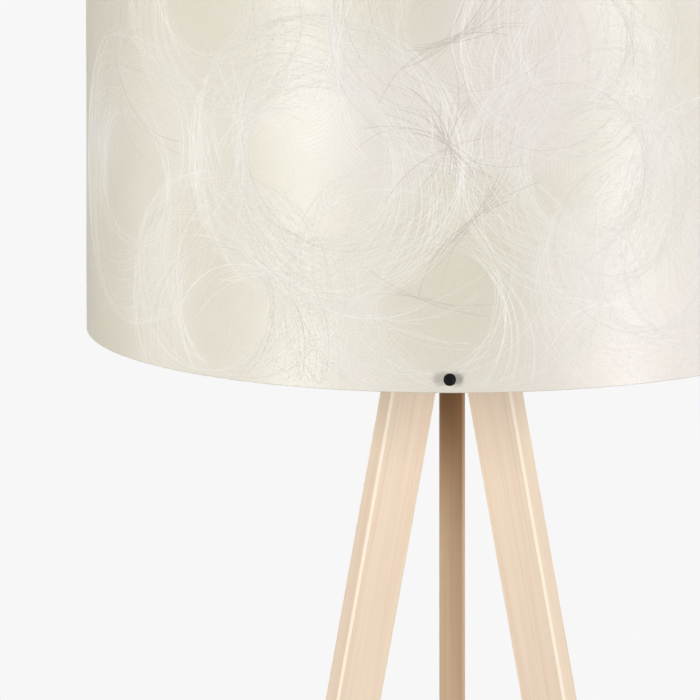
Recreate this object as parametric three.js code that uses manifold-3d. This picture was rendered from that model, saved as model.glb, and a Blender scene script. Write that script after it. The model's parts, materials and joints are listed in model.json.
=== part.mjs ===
// Tripod floor lamp: three folding timber legs under a drum shade.
// Millimetres and degrees. The floor is z = 0 and the lamp's axis is x = y = 0.
// The rear leg points to +Y and the switch faces -Y.
import * as THREE from 'three';
import { mergeVertices } from 'three/addons/utils/BufferGeometryUtils.js';
import Module from 'manifold-3d';

const wasm = await Module();
wasm.setup();

// ---- Driving sizes ---------------------------------------------------------------------------
const FIT_GAP = 0.3; // between two pieces that touch or pass through each other

// Shade
const SHADE_DIAMETER = 600;
const SHADE_HEIGHT = 380;
const SHADE_EDGE_HEIGHT = 1150; // lower edge of the sheet above the floor
const SHEET_THICKNESS = 1.2;
const SHEET_GAP = 0.5; // between the sheet and the curved pieces just inside it
const RING_WIRE = 3.5;
const RING_INSET = 1.2; // from the sheet's cut edge to the ring's wire

// Legs
const LEG_AZIMUTHS = { rear: 90, front_left: 210, front_right: 330 };
const LEG_WIDTH = 21;
const LEG_DEPTH = 42;
const LEG_CHAMFER = 2;
const LEG_SPLAY = 11.6; // lean from the vertical
const LEG_CORNER_GAP = 2; // radial room left where the three inner corners come closest
const FOLD_RELIEF = 13.5; // slope of the top's inner half, a little over the fold angle

// Glides under the feet
const GLIDE_DIAMETER = 17;
const GLIDE_HEIGHT = 5;
const GLIDE_PIN_DIAMETER = 4;
const GLIDE_PIN_LENGTH = 14;
const GLIDE_EDGE = 1; // chamfer round the pad's lower edge

// Hub plate, leg brackets and their bolts
const HUB_ABOVE_EDGE = 10; // underside of the plate above the shade's lower edge
const HUB_THICKNESS = 4;
const HUB_MARGIN = 4; // plate left outside the grommet
const HUB_RIM_SIDES = 64;
const BRACKET_SHEET = 3;
const BRACKET_OVERHANG = 2; // web beyond the leg's outer face
const EAR_RADIUS = 12;
const PIVOT_DROP = 22; // pivot below the leg's top
const PIVOT_BOLT_DIAMETER = 6;
const PIVOT_HEAD_DIAMETER = 10;
const PIVOT_HEAD_HEIGHT = 4;
const PIVOT_NUT_FLATS = 10;
const PIVOT_NUT_HEIGHT = 5;
const THREAD_SHOWING = 1; // past a nut
const PLATE_SCREW_DIAMETER = 5;
const PLATE_SCREW_HEAD_DIAMETER = 9.5;
const PLATE_SCREW_HEAD_HEIGHT = 2.75;
const PLATE_SCREW_MARGIN = 7; // from the web's ends to its two screws
const KEY_SOCKET_DIAMETER = 3.5;
const KEY_SOCKET_DEPTH = 1.6;

// Cord inlet
const CORD_DIAMETER = 5.4;
const GROMMET_WALL = 1.5;
const GROMMET_LIP = 1.8;

// Lampholder
const NIPPLE_DIAMETER = 10;
const NIPPLE_BORE = 7;
const NIPPLE_ABOVE_FLOOR = 2; // inside the lampholder's base
const LOCKNUT_FLATS = 14;
const LOCKNUT_HEIGHT = 4;
const HOLDER_DIAMETER = 43;
const HOLDER_FOOT_DIAMETER = 28;
const HOLDER_BASE_HEIGHT = 26;
const HOLDER_FLARE_HEIGHT = 10;
const HOLDER_WALL = 2.5;
const HOLDER_FLOOR = 3;
const HOLDER_LEDGE_WIDTH = 3;
const INSERT_THICKNESS = 8;
const INSERT_RECESS = 1.5; // from the insert's top to the base's rim
const SKIRT_DIAMETER = 39.4;
const SKIRT_BORE = 30;
const SKIRT_LENGTH = 30;
const SKIRT_FLANGE_DIAMETER = 47;
const SKIRT_FLANGE_HEIGHT = 3;
const SHADE_NUT_DIAMETER = 54;
const SHADE_NUT_HEIGHT = 8;
const CONTACT_SHEET = 0.6;
const CONTACT_WIDTH = 5;
const CENTRE_CONTACT_FOOT = [-9, -4]; // where the strip lies flat, then rises to its tip
const CENTRE_CONTACT_TIP = 2;
const SIDE_CONTACT_HEIGHT = 12;
const SIDE_CONTACT_FOOT = 2; // under the skirt

// Bulb
const BULB_DIAMETER = 60;
const BULB_LENGTH = 108;
const BULB_TIP_ABOVE_INSERT = 3.5;
const BULB_CAP_DIAMETER = 26.4;
const BULB_CAP_LENGTH = 24;
const BULB_TIP_DIAMETER = 10;
const BULB_TIP_HEIGHT = 1.2;
const BULB_CAP_WALL = 0.6;
const BULB_CAP_SHOULDER = 5; // height of the cone below the threaded part
const BULB_NECK_DEPTH = 8.4; // of the glass inside its cap
const BULB_NECK_ABOVE_CAP = 3;
const GLASS_WALL = 1;

// Shade carrier
const COLLAR_DIAMETER = 62;
const COLLAR_THICKNESS = 2;
const ARM_ROD = 5;
const ARM_AZIMUTHS = { front: 270, right: 30, left: 150 };
const TAB_WIDTH = 14;
const TAB_SHEET = 2;
const TAB_MARGIN = 1; // tab left above the arm
const FIXING_ABOVE_RING = 7; // from the lower ring's top to the centres of the switch and screws

// Shade screws and push switch
const CAP_DIAMETER = 10.2;
const CAP_CHAMFER = 0.6;
const SCREW_CAP_HEIGHT = 4.6;
const SCREW_DIAMETER = 4;
const SCREW_TAIL = 3; // thread showing behind the tab
const SWITCH_WIDTH = 12;
const SWITCH_DEPTH = 14;
const SWITCH_NECK_DIAMETER = 7;
const SWITCH_NUT_DIAMETER = 9.4;
const SWITCH_NUT_THICKNESS = 1;
const BUTTON_THICKNESS = 2.4;
const BUTTON_TRAVEL = 1.2;
const STEM_DIAMETER = 4;
const STEM_LENGTH = 12;

// Switch lead under the front arm
const LEAD_DIAMETER = 4;
const LEAD_BELOW_ARM = 1.2; // between the lead and the rod it runs along
const LEAD_INSIDE_HOLDER = 2;
const CLIP_WALL = 1.2;
const CLIP_LENGTH = 7;
const CLIP_PLACES = [0.3, 0.7]; // share of the way along the arm

// ---- Sizes that follow -----------------------------------------------------------------------
const radians = THREE.MathUtils.degToRad;
const splayTangent = Math.tan(radians(LEG_SPLAY));

const hubUnderside = SHADE_EDGE_HEIGHT + HUB_ABOVE_EDGE;
const hubTop = hubUnderside + HUB_THICKNESS;
const webTop = hubUnderside - FIT_GAP;
const webUnderside = webTop - BRACKET_SHEET;
const legTop = webUnderside - FIT_GAP;
const legBottom = GLIDE_HEIGHT + FIT_GAP;
const legHalfDepth = LEG_DEPTH / 2 / Math.cos(radians(LEG_SPLAY)); // measured level
const legTopCentre = LEG_WIDTH / (2 * Math.tan(radians(60))) + LEG_CORNER_GAP + legHalfDepth;
const legCentreAt = (height) => legTopCentre + (legTop - height) * splayTangent;
const pivotHeight = legTop - PIVOT_DROP;
const pivotRadius = legCentreAt(pivotHeight);

const webInner = pivotRadius - EAR_RADIUS;
const webOuter = legTopCentre + legHalfDepth + BRACKET_OVERHANG;
const earInner = LEG_WIDTH / 2 + FIT_GAP;
const earOuter = earInner + BRACKET_SHEET;
const plateScrewRadii = [webInner + PLATE_SCREW_MARGIN, webOuter - PLATE_SCREW_MARGIN];
const plateScrewBore = PLATE_SCREW_DIAMETER / 2 + FIT_GAP;

const grommetBore = CORD_DIAMETER / 2 + FIT_GAP;
const grommetNeck = grommetBore + GROMMET_WALL;
const grommetLip = grommetNeck + GROMMET_LIP;
const grommetRadius = webOuter + BRACKET_OVERHANG + grommetLip;
const hubRadius = grommetRadius + grommetLip + HUB_MARGIN;

const holderBottom = hubTop + FIT_GAP;
const holderRim = holderBottom + HOLDER_BASE_HEIGHT;
const insertTop = holderRim - INSERT_RECESS;
const ledgeHeight = insertTop - INSERT_THICKNESS - FIT_GAP;
const holderBoreRadius = HOLDER_DIAMETER / 2 - HOLDER_WALL;
const ledgeRadius = holderBoreRadius - HOLDER_LEDGE_WIDTH;
const leadHoleHeight = (holderBottom + HOLDER_FLARE_HEIGHT + ledgeHeight) / 2;
const skirtBottom = holderRim + FIT_GAP;
const flangeTop = skirtBottom + SKIRT_FLANGE_HEIGHT;
const collarBottom = flangeTop + FIT_GAP;
const collarTop = collarBottom + COLLAR_THICKNESS;
const bulbTip = insertTop + BULB_TIP_ABOVE_INSERT;

const sheetOuter = SHADE_DIAMETER / 2;
const sheetInner = sheetOuter - SHEET_THICKNESS;
const shadeTop = SHADE_EDGE_HEIGHT + SHADE_HEIGHT;
const ringRadius = sheetInner - SHEET_GAP - RING_WIRE / 2;
const lowerRingHeight = SHADE_EDGE_HEIGHT + RING_INSET + RING_WIRE / 2;
const upperRingHeight = shadeTop - RING_INSET - RING_WIRE / 2;
const lowerRingTop = lowerRingHeight + RING_WIRE / 2;
const fixingHeight = lowerRingTop + FIXING_ABOVE_RING;

const tabOuter = sheetInner - SHEET_GAP;
const tabInner = tabOuter - TAB_SHEET;
const tabBottom = lowerRingTop + FIT_GAP;
const armEndHeight = fixingHeight + SWITCH_WIDTH / 2 + FIT_GAP + ARM_ROD / 2 + TAB_MARGIN;
const tabTop = armEndHeight + ARM_ROD / 2 + TAB_MARGIN;
const armStart = new THREE.Vector3(COLLAR_DIAMETER / 2 - ARM_ROD / 2, 0, (collarBottom + collarTop) / 2);
const armEnd = new THREE.Vector3(tabInner + TAB_SHEET / 2, 0, armEndHeight);
const armSlope = Math.atan2(armStart.z - armEnd.z, armEnd.x - armStart.x);

const switchFront = tabInner - FIT_GAP;
const switchBack = switchFront - SWITCH_DEPTH;
const nutFace = sheetOuter + FIT_GAP;
const neckEnd = nutFace + SWITCH_NUT_THICKNESS;
const buttonFace = neckEnd + FIT_GAP + BUTTON_TRAVEL;
const stemBore = STEM_DIAMETER / 2 + FIT_GAP;
const stemEnd = buttonFace - STEM_LENGTH;
const leadDrop = ARM_ROD / 2 + LEAD_DIAMETER / 2 + LEAD_BELOW_ARM;

// ---- Finishes --------------------------------------------------------------------------------
const finish = (color, roughness, metalness = 0) =>
  new THREE.MeshStandardMaterial({ color, roughness, metalness });

// ---- Shapes and solids -----------------------------------------------------------------------
/** A piece turned round Z: profile is [radius, height] pairs, anticlockwise with the axis at left. */
function turned(profile, segments = 24) {
  const points = profile.map(([radius, height]) => new THREE.Vector2(radius, height));
  return new THREE.LatheGeometry(points, segments).rotateX(Math.PI / 2);
}

/** A turned ring or tube: the profile is closed back to its first point. */
function turnedRing(profile, segments = 24) {
  return turned([...profile, profile[0]], segments);
}

/** A plain tube round Z between two heights. */
function tube(inner, outer, bottom, top, segments = 24) {
  return turnedRing([[inner, bottom], [outer, bottom], [outer, top], [inner, top]], segments);
}

/** A plain cylinder round Z between two heights. */
function rod(radius, bottom, top, segments = 16) {
  return turned([[0, bottom], [radius, bottom], [radius, top], [0, top]], segments);
}

/** Turns a geometry so that what ran along +Z runs along +X and its X lies along Y. */
function alongX(geometry) {
  const turn = new THREE.Matrix4().makeBasis(
    new THREE.Vector3(0, 1, 0),
    new THREE.Vector3(0, 0, 1),
    new THREE.Vector3(1, 0, 0),
  );
  return geometry.applyMatrix4(turn);
}

/** Turns a geometry so that what ran along +Z runs along +Y. */
function alongY(geometry) {
  return geometry.rotateX(-Math.PI / 2);
}

/** A flat outline drawn in X and Z and made `width` thick across Y, centred on Y = 0. */
function plateAcross(shape, width, options = {}) {
  const base = { depth: width, bevelEnabled: false, curveSegments: 6 };
  const geometry = new THREE.ExtrudeGeometry(shape, { ...base, ...options });
  return geometry.rotateX(Math.PI / 2).translate(0, width / 2, 0);
}

/** An outline drawn in X and Y, extruded up Z from `bottom`. */
function plateFlat(shape, bottom, thickness, curveSegments = 8) {
  const options = { depth: thickness, bevelEnabled: false, curveSegments };
  return new THREE.ExtrudeGeometry(shape, options).translate(0, 0, bottom);
}

/** An axis-aligned block between two corners. */
function block([x0, y0, z0], [x1, y1, z1]) {
  return new THREE.BoxGeometry(x1 - x0, y1 - y0, z1 - z0)
    .translate((x0 + x1) / 2, (y0 + y1) / 2, (z0 + z1) / 2);
}

/** A round hole's outline at (x, y). */
function holeAt(x, y, radius) {
  return new THREE.Path().absarc(x, y, radius, 0, 2 * Math.PI, true);
}

/** A hexagonal nut round Z, standing on z = 0. */
function hexNut(acrossFlats, boreRadius, height) {
  const corner = acrossFlats / 2 / Math.cos(Math.PI / 6);
  const corners = [...Array(6).keys()].map((side) => {
    const angle = side * Math.PI / 3;
    return new THREE.Vector2(corner * Math.cos(angle), corner * Math.sin(angle));
  });
  const shape = new THREE.Shape(corners);
  shape.holes.push(holeAt(0, 0, boreRadius));
  return plateFlat(shape, 0, height);
}

/** The manifold solid of a closed geometry. */
function solidOf(geometry) {
  const bare = geometry.clone();
  bare.deleteAttribute('normal');
  bare.deleteAttribute('uv');
  const merged = mergeVertices(bare, 1e-4);
  return new wasm.Manifold(new wasm.Mesh({
    numProp: 3,
    vertProperties: merged.attributes.position.array,
    triVerts: new Uint32Array(merged.index.array),
  }));
}

/** The geometry of a manifold solid. */
function geometryOf(solid) {
  const { vertProperties, triVerts } = solid.getMesh();
  const geometry = new THREE.BufferGeometry();
  geometry.setAttribute('position', new THREE.BufferAttribute(vertProperties, 3));
  return geometry.setIndex(new THREE.BufferAttribute(triVerts, 1));
}

/** A body with pieces joined to it and other pieces cut from it. */
function shaped(body, { join = [], cut = [] }) {
  const joined = join.reduce((solid, piece) => solid.add(solidOf(piece)), solidOf(body));
  return geometryOf(cut.reduce((solid, piece) => solid.subtract(solidOf(piece)), joined));
}

/** A rod swept along a curve. */
function swept(curve, diameter, steps, sides) {
  const section = new THREE.Shape().absarc(0, 0, diameter / 2, 0, 2 * Math.PI, false);
  const options = { extrudePath: curve, steps, curveSegments: sides, bevelEnabled: false };
  return new THREE.ExtrudeGeometry(section, options);
}

function named(name, geometry, material) {
  const mesh = new THREE.Mesh(geometry, material);
  mesh.name = name;
  return mesh;
}

/** A group turned to an azimuth, so that its +X points away from the lamp's axis. */
function spoke(azimuth, ...pieces) {
  const group = new THREE.Group();
  group.rotation.z = radians(azimuth);
  return group.add(...pieces);
}

// ---- Legs ------------------------------------------------------------------------------------
const ash = finish('#e6cfb2', 0.55);
const softRubber = finish('#2a2826', 0.9);

/** A chamfered timber leg: level foot, bolt bore, and a top whose inner half clears the fold. */
function legGeometry() {
  const relief = Math.tan(radians(FOLD_RELIEF));
  const innerDrop = relief * (pivotRadius - legTopCentre + legHalfDepth) / (1 + relief * splayTangent);
  const footCentre = legCentreAt(legBottom);
  const outline = new THREE.Shape([
    new THREE.Vector2(footCentre - legHalfDepth, legBottom),
    new THREE.Vector2(footCentre + legHalfDepth, legBottom),
    new THREE.Vector2(legTopCentre + legHalfDepth, legTop),
    new THREE.Vector2(pivotRadius, legTop),
    new THREE.Vector2(legTopCentre - legHalfDepth + innerDrop * splayTangent, legTop - innerDrop),
  ]);
  const timber = plateAcross(outline, LEG_WIDTH - 2 * LEG_CHAMFER, {
    bevelEnabled: true,
    bevelThickness: LEG_CHAMFER,
    bevelSize: LEG_CHAMFER,
    bevelOffset: -LEG_CHAMFER,
    bevelSegments: 1,
  });
  const bore = alongY(rod(PIVOT_BOLT_DIAMETER / 2 + FIT_GAP, -LEG_WIDTH, LEG_WIDTH))
    .translate(pivotRadius, 0, pivotHeight);
  const pinHole = rod(GLIDE_PIN_DIAMETER / 2 + FIT_GAP, 0, GLIDE_HEIGHT + GLIDE_PIN_LENGTH + FIT_GAP)
    .translate(footCentre, 0, 0);
  return shaped(timber, { cut: [bore, pinHole] });
}

/** A round pad with the pin that is knocked up into the foot. */
function glideGeometry() {
  const pad = GLIDE_DIAMETER / 2;
  const pin = GLIDE_PIN_DIAMETER / 2;
  const pinTop = GLIDE_HEIGHT + GLIDE_PIN_LENGTH;
  const edge = GLIDE_EDGE;
  return turned([
    [0, 0], [pad - edge, 0], [pad, edge], [pad, GLIDE_HEIGHT],
    [pin, GLIDE_HEIGHT], [pin, pinTop], [0, pinTop],
  ], 16).translate(legCentreAt(legBottom), 0, 0);
}

// ---- Leg brackets and their fasteners --------------------------------------------------------
const blackSteel = finish('#1d1d1e', 0.55, 0.6);
const zincSteel = finish('#b9bcc0', 0.35, 0.9);

/** A folded steel U: a web under the hub plate and an ear on each side of the leg. */
function bracketGeometry() {
  const web = block([webInner, -earOuter, webUnderside], [webOuter, earOuter, webTop]);
  const earShape = new THREE.Shape()
    .moveTo(pivotRadius - EAR_RADIUS, webTop)
    .lineTo(pivotRadius - EAR_RADIUS, pivotHeight)
    .absarc(pivotRadius, pivotHeight, EAR_RADIUS, Math.PI, 2 * Math.PI, false)
    .lineTo(pivotRadius + EAR_RADIUS, webTop);
  earShape.holes.push(holeAt(pivotRadius, pivotHeight, PIVOT_BOLT_DIAMETER / 2 + FIT_GAP));
  const ears = [-1, 1].map((side) =>
    plateAcross(earShape, BRACKET_SHEET).translate(0, side * (earInner + BRACKET_SHEET / 2), 0));
  const screwHoles = plateScrewRadii.map((radius) =>
    rod(plateScrewBore, webUnderside - 1, webTop + 1).translate(radius, 0, 0));
  return shaped(web, { join: ears, cut: screwHoles });
}

/** A socket-head bolt round Z: head from z = 0 up to headHeight, shank on to z = length. */
function socketBolt(headDiameter, headHeight, shankDiameter, length) {
  const socket = KEY_SOCKET_DIAMETER / 2;
  const head = headDiameter / 2;
  const shank = shankDiameter / 2;
  return turned([
    [0, KEY_SOCKET_DEPTH], [socket, KEY_SOCKET_DEPTH], [socket, 0], [head - 0.5, 0], [head, 0.5],
    [head, headHeight], [shank, headHeight], [shank, length], [0, length],
  ], 12);
}

function pivotBoltGeometry() {
  const grip = 2 * (earOuter + FIT_GAP) + PIVOT_NUT_HEIGHT + THREAD_SHOWING;
  const length = PIVOT_HEAD_HEIGHT + grip;
  const bolt = socketBolt(PIVOT_HEAD_DIAMETER, PIVOT_HEAD_HEIGHT, PIVOT_BOLT_DIAMETER, length);
  return alongY(bolt).translate(pivotRadius, -(earOuter + FIT_GAP + PIVOT_HEAD_HEIGHT), pivotHeight);
}

function pivotNutGeometry() {
  const nut = hexNut(PIVOT_NUT_FLATS, PIVOT_BOLT_DIAMETER / 2 + FIT_GAP, PIVOT_NUT_HEIGHT);
  return alongY(nut).translate(pivotRadius, earOuter + FIT_GAP, pivotHeight);
}

/** A screw down through the hub plate into the bracket's web. */
function plateScrewGeometry(radius) {
  const length = PLATE_SCREW_HEAD_HEIGHT + FIT_GAP + hubTop - webUnderside - FIT_GAP;
  const screw = socketBolt(PLATE_SCREW_HEAD_DIAMETER, PLATE_SCREW_HEAD_HEIGHT, PLATE_SCREW_DIAMETER, length);
  return screw.rotateX(Math.PI).translate(radius, 0, hubTop + FIT_GAP + PLATE_SCREW_HEAD_HEIGHT);
}

// ---- Hub plate and cord inlet ----------------------------------------------------------------
function hubPlateGeometry() {
  const rim = new THREE.EllipseCurve(0, 0, hubRadius, hubRadius).getPoints(HUB_RIM_SIDES);
  const disc = new THREE.Shape(rim);
  disc.holes.push(holeAt(0, 0, NIPPLE_DIAMETER / 2 + FIT_GAP));
  disc.holes.push(holeAt(0, grommetRadius, grommetNeck + FIT_GAP));
  for (const azimuth of Object.values(LEG_AZIMUTHS)) {
    for (const radius of plateScrewRadii) {
      const x = radius * Math.cos(radians(azimuth));
      const y = radius * Math.sin(radians(azimuth));
      disc.holes.push(holeAt(x, y, plateScrewBore));
    }
  }
  return plateFlat(disc, hubUnderside, HUB_THICKNESS, 6);
}

/** A rubber grommet gripping the plate's edge between two lips. */
function grommetGeometry() {
  const below = hubUnderside - FIT_GAP;
  const above = hubTop + FIT_GAP;
  return turnedRing([
    [grommetBore, below - GROMMET_LIP], [grommetLip, below - GROMMET_LIP], [grommetLip, below],
    [grommetNeck, below], [grommetNeck, above], [grommetLip, above],
    [grommetLip, above + GROMMET_LIP], [grommetBore, above + GROMMET_LIP],
  ], 20).translate(0, grommetRadius, 0);
}

// ---- Lampholder ------------------------------------------------------------------------------
const holderPlastic = finish('#1b1b1c', 0.4);
const ceramic = finish('#ece8df', 0.5);
const brass = finish('#c9a256', 0.35, 0.9);

/** The threaded tube that clamps the lampholder to the hub plate. */
function nippleGeometry() {
  const bottom = hubUnderside - FIT_GAP - LOCKNUT_HEIGHT - THREAD_SHOWING;
  const top = holderBottom + HOLDER_FLOOR + NIPPLE_ABOVE_FLOOR;
  return tube(NIPPLE_BORE / 2, NIPPLE_DIAMETER / 2, bottom, top, 20);
}

function locknutGeometry() {
  return hexNut(LOCKNUT_FLATS, NIPPLE_DIAMETER / 2 + FIT_GAP, LOCKNUT_HEIGHT)
    .translate(0, 0, hubUnderside - FIT_GAP - LOCKNUT_HEIGHT);
}

/** A hollow foot, flared out of the nipple, with side holes for the supply cord and switch lead. */
function holderBaseGeometry() {
  const flareTop = holderBottom + HOLDER_FLARE_HEIGHT;
  const floor = holderBottom + HOLDER_FLOOR;
  const shell = turnedRing([
    [NIPPLE_DIAMETER / 2 + FIT_GAP, holderBottom], [HOLDER_FOOT_DIAMETER / 2, holderBottom],
    [HOLDER_DIAMETER / 2, flareTop], [HOLDER_DIAMETER / 2, holderRim],
    [holderBoreRadius, holderRim], [holderBoreRadius, ledgeHeight],
    [ledgeRadius, ledgeHeight], [ledgeRadius, flareTop],
    [HOLDER_FOOT_DIAMETER / 2 - HOLDER_WALL, floor], [NIPPLE_DIAMETER / 2 + FIT_GAP, floor],
  ], 32);
  const leadHole = alongY(rod(LEAD_DIAMETER / 2 + FIT_GAP, 0, HOLDER_DIAMETER))
    .translate(0, -HOLDER_DIAMETER, leadHoleHeight);
  const supplyHole = alongY(rod(CORD_DIAMETER / 2 + FIT_GAP, 0, HOLDER_DIAMETER))
    .translate(0, 0, leadHoleHeight);
  return shaped(shell, { cut: [leadHole, supplyHole] });
}

function holderInsertGeometry() {
  return rod(holderBoreRadius - FIT_GAP, insertTop - INSERT_THICKNESS, insertTop, 28);
}

/** The sprung strip that meets the bulb's tip. */
function centreContactGeometry() {
  const rise = BULB_TIP_ABOVE_INSERT - 2 * FIT_GAP - CONTACT_SHEET;
  const [heel, bend] = CENTRE_CONTACT_FOOT;
  const side = new THREE.Shape([
    new THREE.Vector2(heel, 0),
    new THREE.Vector2(bend, 0),
    new THREE.Vector2(CENTRE_CONTACT_TIP, rise),
    new THREE.Vector2(CENTRE_CONTACT_TIP, rise + CONTACT_SHEET),
    new THREE.Vector2(bend, CONTACT_SHEET),
    new THREE.Vector2(heel, CONTACT_SHEET),
  ]);
  return plateAcross(side, CONTACT_WIDTH).translate(0, 0, insertTop + FIT_GAP);
}

/** The sprung strip that meets the side of the bulb's cap. */
function sideContactGeometry() {
  const face = BULB_CAP_DIAMETER / 2 + FIT_GAP;
  const foot = INSERT_RECESS - 2 * FIT_GAP;
  const toe = SKIRT_BORE / 2 + SIDE_CONTACT_FOOT;
  const side = new THREE.Shape([
    new THREE.Vector2(face, 0),
    new THREE.Vector2(toe, 0),
    new THREE.Vector2(toe, foot),
    new THREE.Vector2(face + CONTACT_SHEET, foot),
    new THREE.Vector2(face + CONTACT_SHEET, SIDE_CONTACT_HEIGHT),
    new THREE.Vector2(face, SIDE_CONTACT_HEIGHT),
  ]);
  return plateAcross(side, CONTACT_WIDTH).translate(0, 0, insertTop + FIT_GAP);
}

/** The threaded sleeve round the bulb's cap, with the flange that carries the shade. */
function holderSkirtGeometry() {
  const top = skirtBottom + SKIRT_LENGTH;
  return turnedRing([
    [SKIRT_BORE / 2, skirtBottom], [SKIRT_FLANGE_DIAMETER / 2, skirtBottom],
    [SKIRT_FLANGE_DIAMETER / 2, flangeTop], [SKIRT_DIAMETER / 2, flangeTop],
    [SKIRT_DIAMETER / 2, top], [SKIRT_BORE / 2, top],
  ], 36);
}

function shadeNutGeometry() {
  const bottom = collarTop + FIT_GAP;
  return tube(SKIRT_DIAMETER / 2 + FIT_GAP, SHADE_NUT_DIAMETER / 2, bottom, bottom + SHADE_NUT_HEIGHT, 36);
}

// ---- Bulb ------------------------------------------------------------------------------------
const opalGlass = finish('#f6f3ea', 0.25);
const bulbMetal = finish('#c8c6c0', 0.3, 0.9);
const bulbCapBottom = bulbTip + BULB_TIP_HEIGHT + FIT_GAP;

function bulbTipGeometry() {
  return rod(BULB_TIP_DIAMETER / 2, bulbTip, bulbTip + BULB_TIP_HEIGHT, 20);
}

/** The screw cap: a thin cup, open at the top for the glass's neck. */
function bulbCapGeometry() {
  const wall = BULB_CAP_WALL;
  const outer = BULB_CAP_DIAMETER / 2;
  const shoulder = bulbCapBottom + BULB_CAP_SHOULDER;
  const top = bulbCapBottom + BULB_CAP_LENGTH;
  return turned([
    [0, bulbCapBottom], [BULB_TIP_DIAMETER / 2 + 1, bulbCapBottom], [outer, shoulder], [outer, top],
    [outer - wall, top], [outer - wall, shoulder + wall / 2],
    [BULB_TIP_DIAMETER / 2, bulbCapBottom + wall], [0, bulbCapBottom + wall],
  ], 24);
}

/** The glass: a globe that narrows to a neck, open at the bottom. */
function bulbGlassGeometry() {
  const neckBottom = bulbCapBottom + BULB_CAP_LENGTH - BULB_NECK_DEPTH;
  const neckTop = bulbCapBottom + BULB_CAP_LENGTH + BULB_NECK_ABOVE_CAP;
  const globeCentre = bulbTip + BULB_LENGTH - BULB_DIAMETER / 2;
  const neck = BULB_CAP_DIAMETER / 2 - BULB_CAP_WALL - FIT_GAP;
  const crown = bulbTip + BULB_LENGTH;
  const wallLine = (inset) => {
    const globe = [];
    for (let degrees = -50; degrees < 90; degrees += 20) {
      const radius = BULB_DIAMETER / 2 - inset;
      globe.push([radius * Math.cos(radians(degrees)), globeCentre + radius * Math.sin(radians(degrees))]);
    }
    return [[neck - inset, neckBottom], [neck - inset, neckTop], ...globe, [0, crown - inset]];
  };
  return turned([...wallLine(GLASS_WALL).reverse(), ...wallLine(0)], 28);
}

// ---- Shade -----------------------------------------------------------------------------------
const laminate = finish('#e9e4d8', 0.7);
const whiteWire = finish('#efece5', 0.45, 0.3);
const blackCap = finish('#0c0c0c', 0.6);

/** The rolled sheet, with a hole for the switch and one for each screw. */
function sheetGeometry() {
  const wall = tube(sheetInner, sheetOuter, SHADE_EDGE_HEIGHT, shadeTop, 96);
  const holes = Object.entries(ARM_AZIMUTHS).map(([place, azimuth]) => {
    const shank = place === 'front' ? SWITCH_NECK_DIAMETER : SCREW_DIAMETER;
    return alongX(rod(shank / 2 + FIT_GAP, tabInner, sheetOuter + TAB_SHEET))
      .translate(0, 0, fixingHeight).rotateZ(radians(azimuth));
  });
  return shaped(wall, { cut: holes });
}

function ringGeometry(height) {
  return new THREE.TorusGeometry(ringRadius, RING_WIRE / 2, 6, 72).translate(0, 0, height);
}

/** The carrier: a flat collar on the lampholder, three rods out to the sheet, and a tab on each. */
function carrierGeometry() {
  const collar = tube(SKIRT_DIAMETER / 2 + FIT_GAP, COLLAR_DIAMETER / 2, collarBottom, collarTop, 48);
  const join = [];
  const cut = [];
  for (const [place, azimuth] of Object.entries(ARM_AZIMUTHS)) {
    const turn = radians(azimuth);
    const shank = place === 'front' ? SWITCH_NECK_DIAMETER : SCREW_DIAMETER;
    const arm = swept(new THREE.LineCurve3(armStart, armEnd), ARM_ROD, 1, 5);
    const tab = block([tabInner, -TAB_WIDTH / 2, tabBottom], [tabOuter, TAB_WIDTH / 2, tabTop]);
    const hole = alongX(rod(shank / 2 + FIT_GAP, tabInner - 1, tabOuter + 1)).translate(0, 0, fixingHeight);
    join.push(arm.rotateZ(turn), tab.rotateZ(turn));
    cut.push(hole.rotateZ(turn));
  }
  return shaped(collar, { join, cut });
}

/** A round-headed screw through the sheet into a rear tab. */
function shadeScrewGeometry() {
  const cap = CAP_DIAMETER / 2;
  const shank = SCREW_DIAMETER / 2;
  const capTop = nutFace + SCREW_CAP_HEIGHT;
  return alongX(turned([
    [0, tabInner - SCREW_TAIL], [shank, tabInner - SCREW_TAIL], [shank, nutFace], [cap, nutFace],
    [cap, capTop - CAP_CHAMFER], [cap - CAP_CHAMFER, capTop], [0, capTop],
  ], 20)).translate(0, 0, fixingHeight);
}

// ---- Push switch -----------------------------------------------------------------------------
/** The switch's case behind the tab, with a threaded neck out through the sheet. */
function switchBodyGeometry() {
  const half = SWITCH_WIDTH / 2;
  const body = block([switchBack, -half, -half], [switchFront, half, half]);
  const neck = alongX(rod(SWITCH_NECK_DIAMETER / 2, switchFront - 1, neckEnd, 20));
  const bore = alongX(rod(stemBore, stemEnd - BUTTON_TRAVEL - FIT_GAP, neckEnd + 1));
  return shaped(body, { join: [neck], cut: [bore] }).translate(0, 0, fixingHeight);
}

function switchNutGeometry() {
  return alongX(tube(SWITCH_NECK_DIAMETER / 2 + FIT_GAP, SWITCH_NUT_DIAMETER / 2, nutFace, neckEnd, 20))
    .translate(0, 0, fixingHeight);
}

/** The button: a round cap on a stem that slides in the neck. */
function buttonGeometry() {
  const cap = CAP_DIAMETER / 2;
  const stem = STEM_DIAMETER / 2;
  const top = buttonFace + BUTTON_THICKNESS;
  return alongX(turned([
    [0, stemEnd], [stem, stemEnd], [stem, buttonFace], [cap, buttonFace],
    [cap, top - CAP_CHAMFER], [cap - CAP_CHAMFER, top], [0, top],
  ], 28)).translate(0, 0, fixingHeight);
}

/** The point on the lead's centre line under the arm at a distance from the lamp's axis. */
function leadPoint(radius) {
  const armHeight = armEnd.z + (armEnd.x - radius) * Math.tan(armSlope);
  return new THREE.Vector3(radius, 0, armHeight - leadDrop / Math.cos(armSlope));
}

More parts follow.
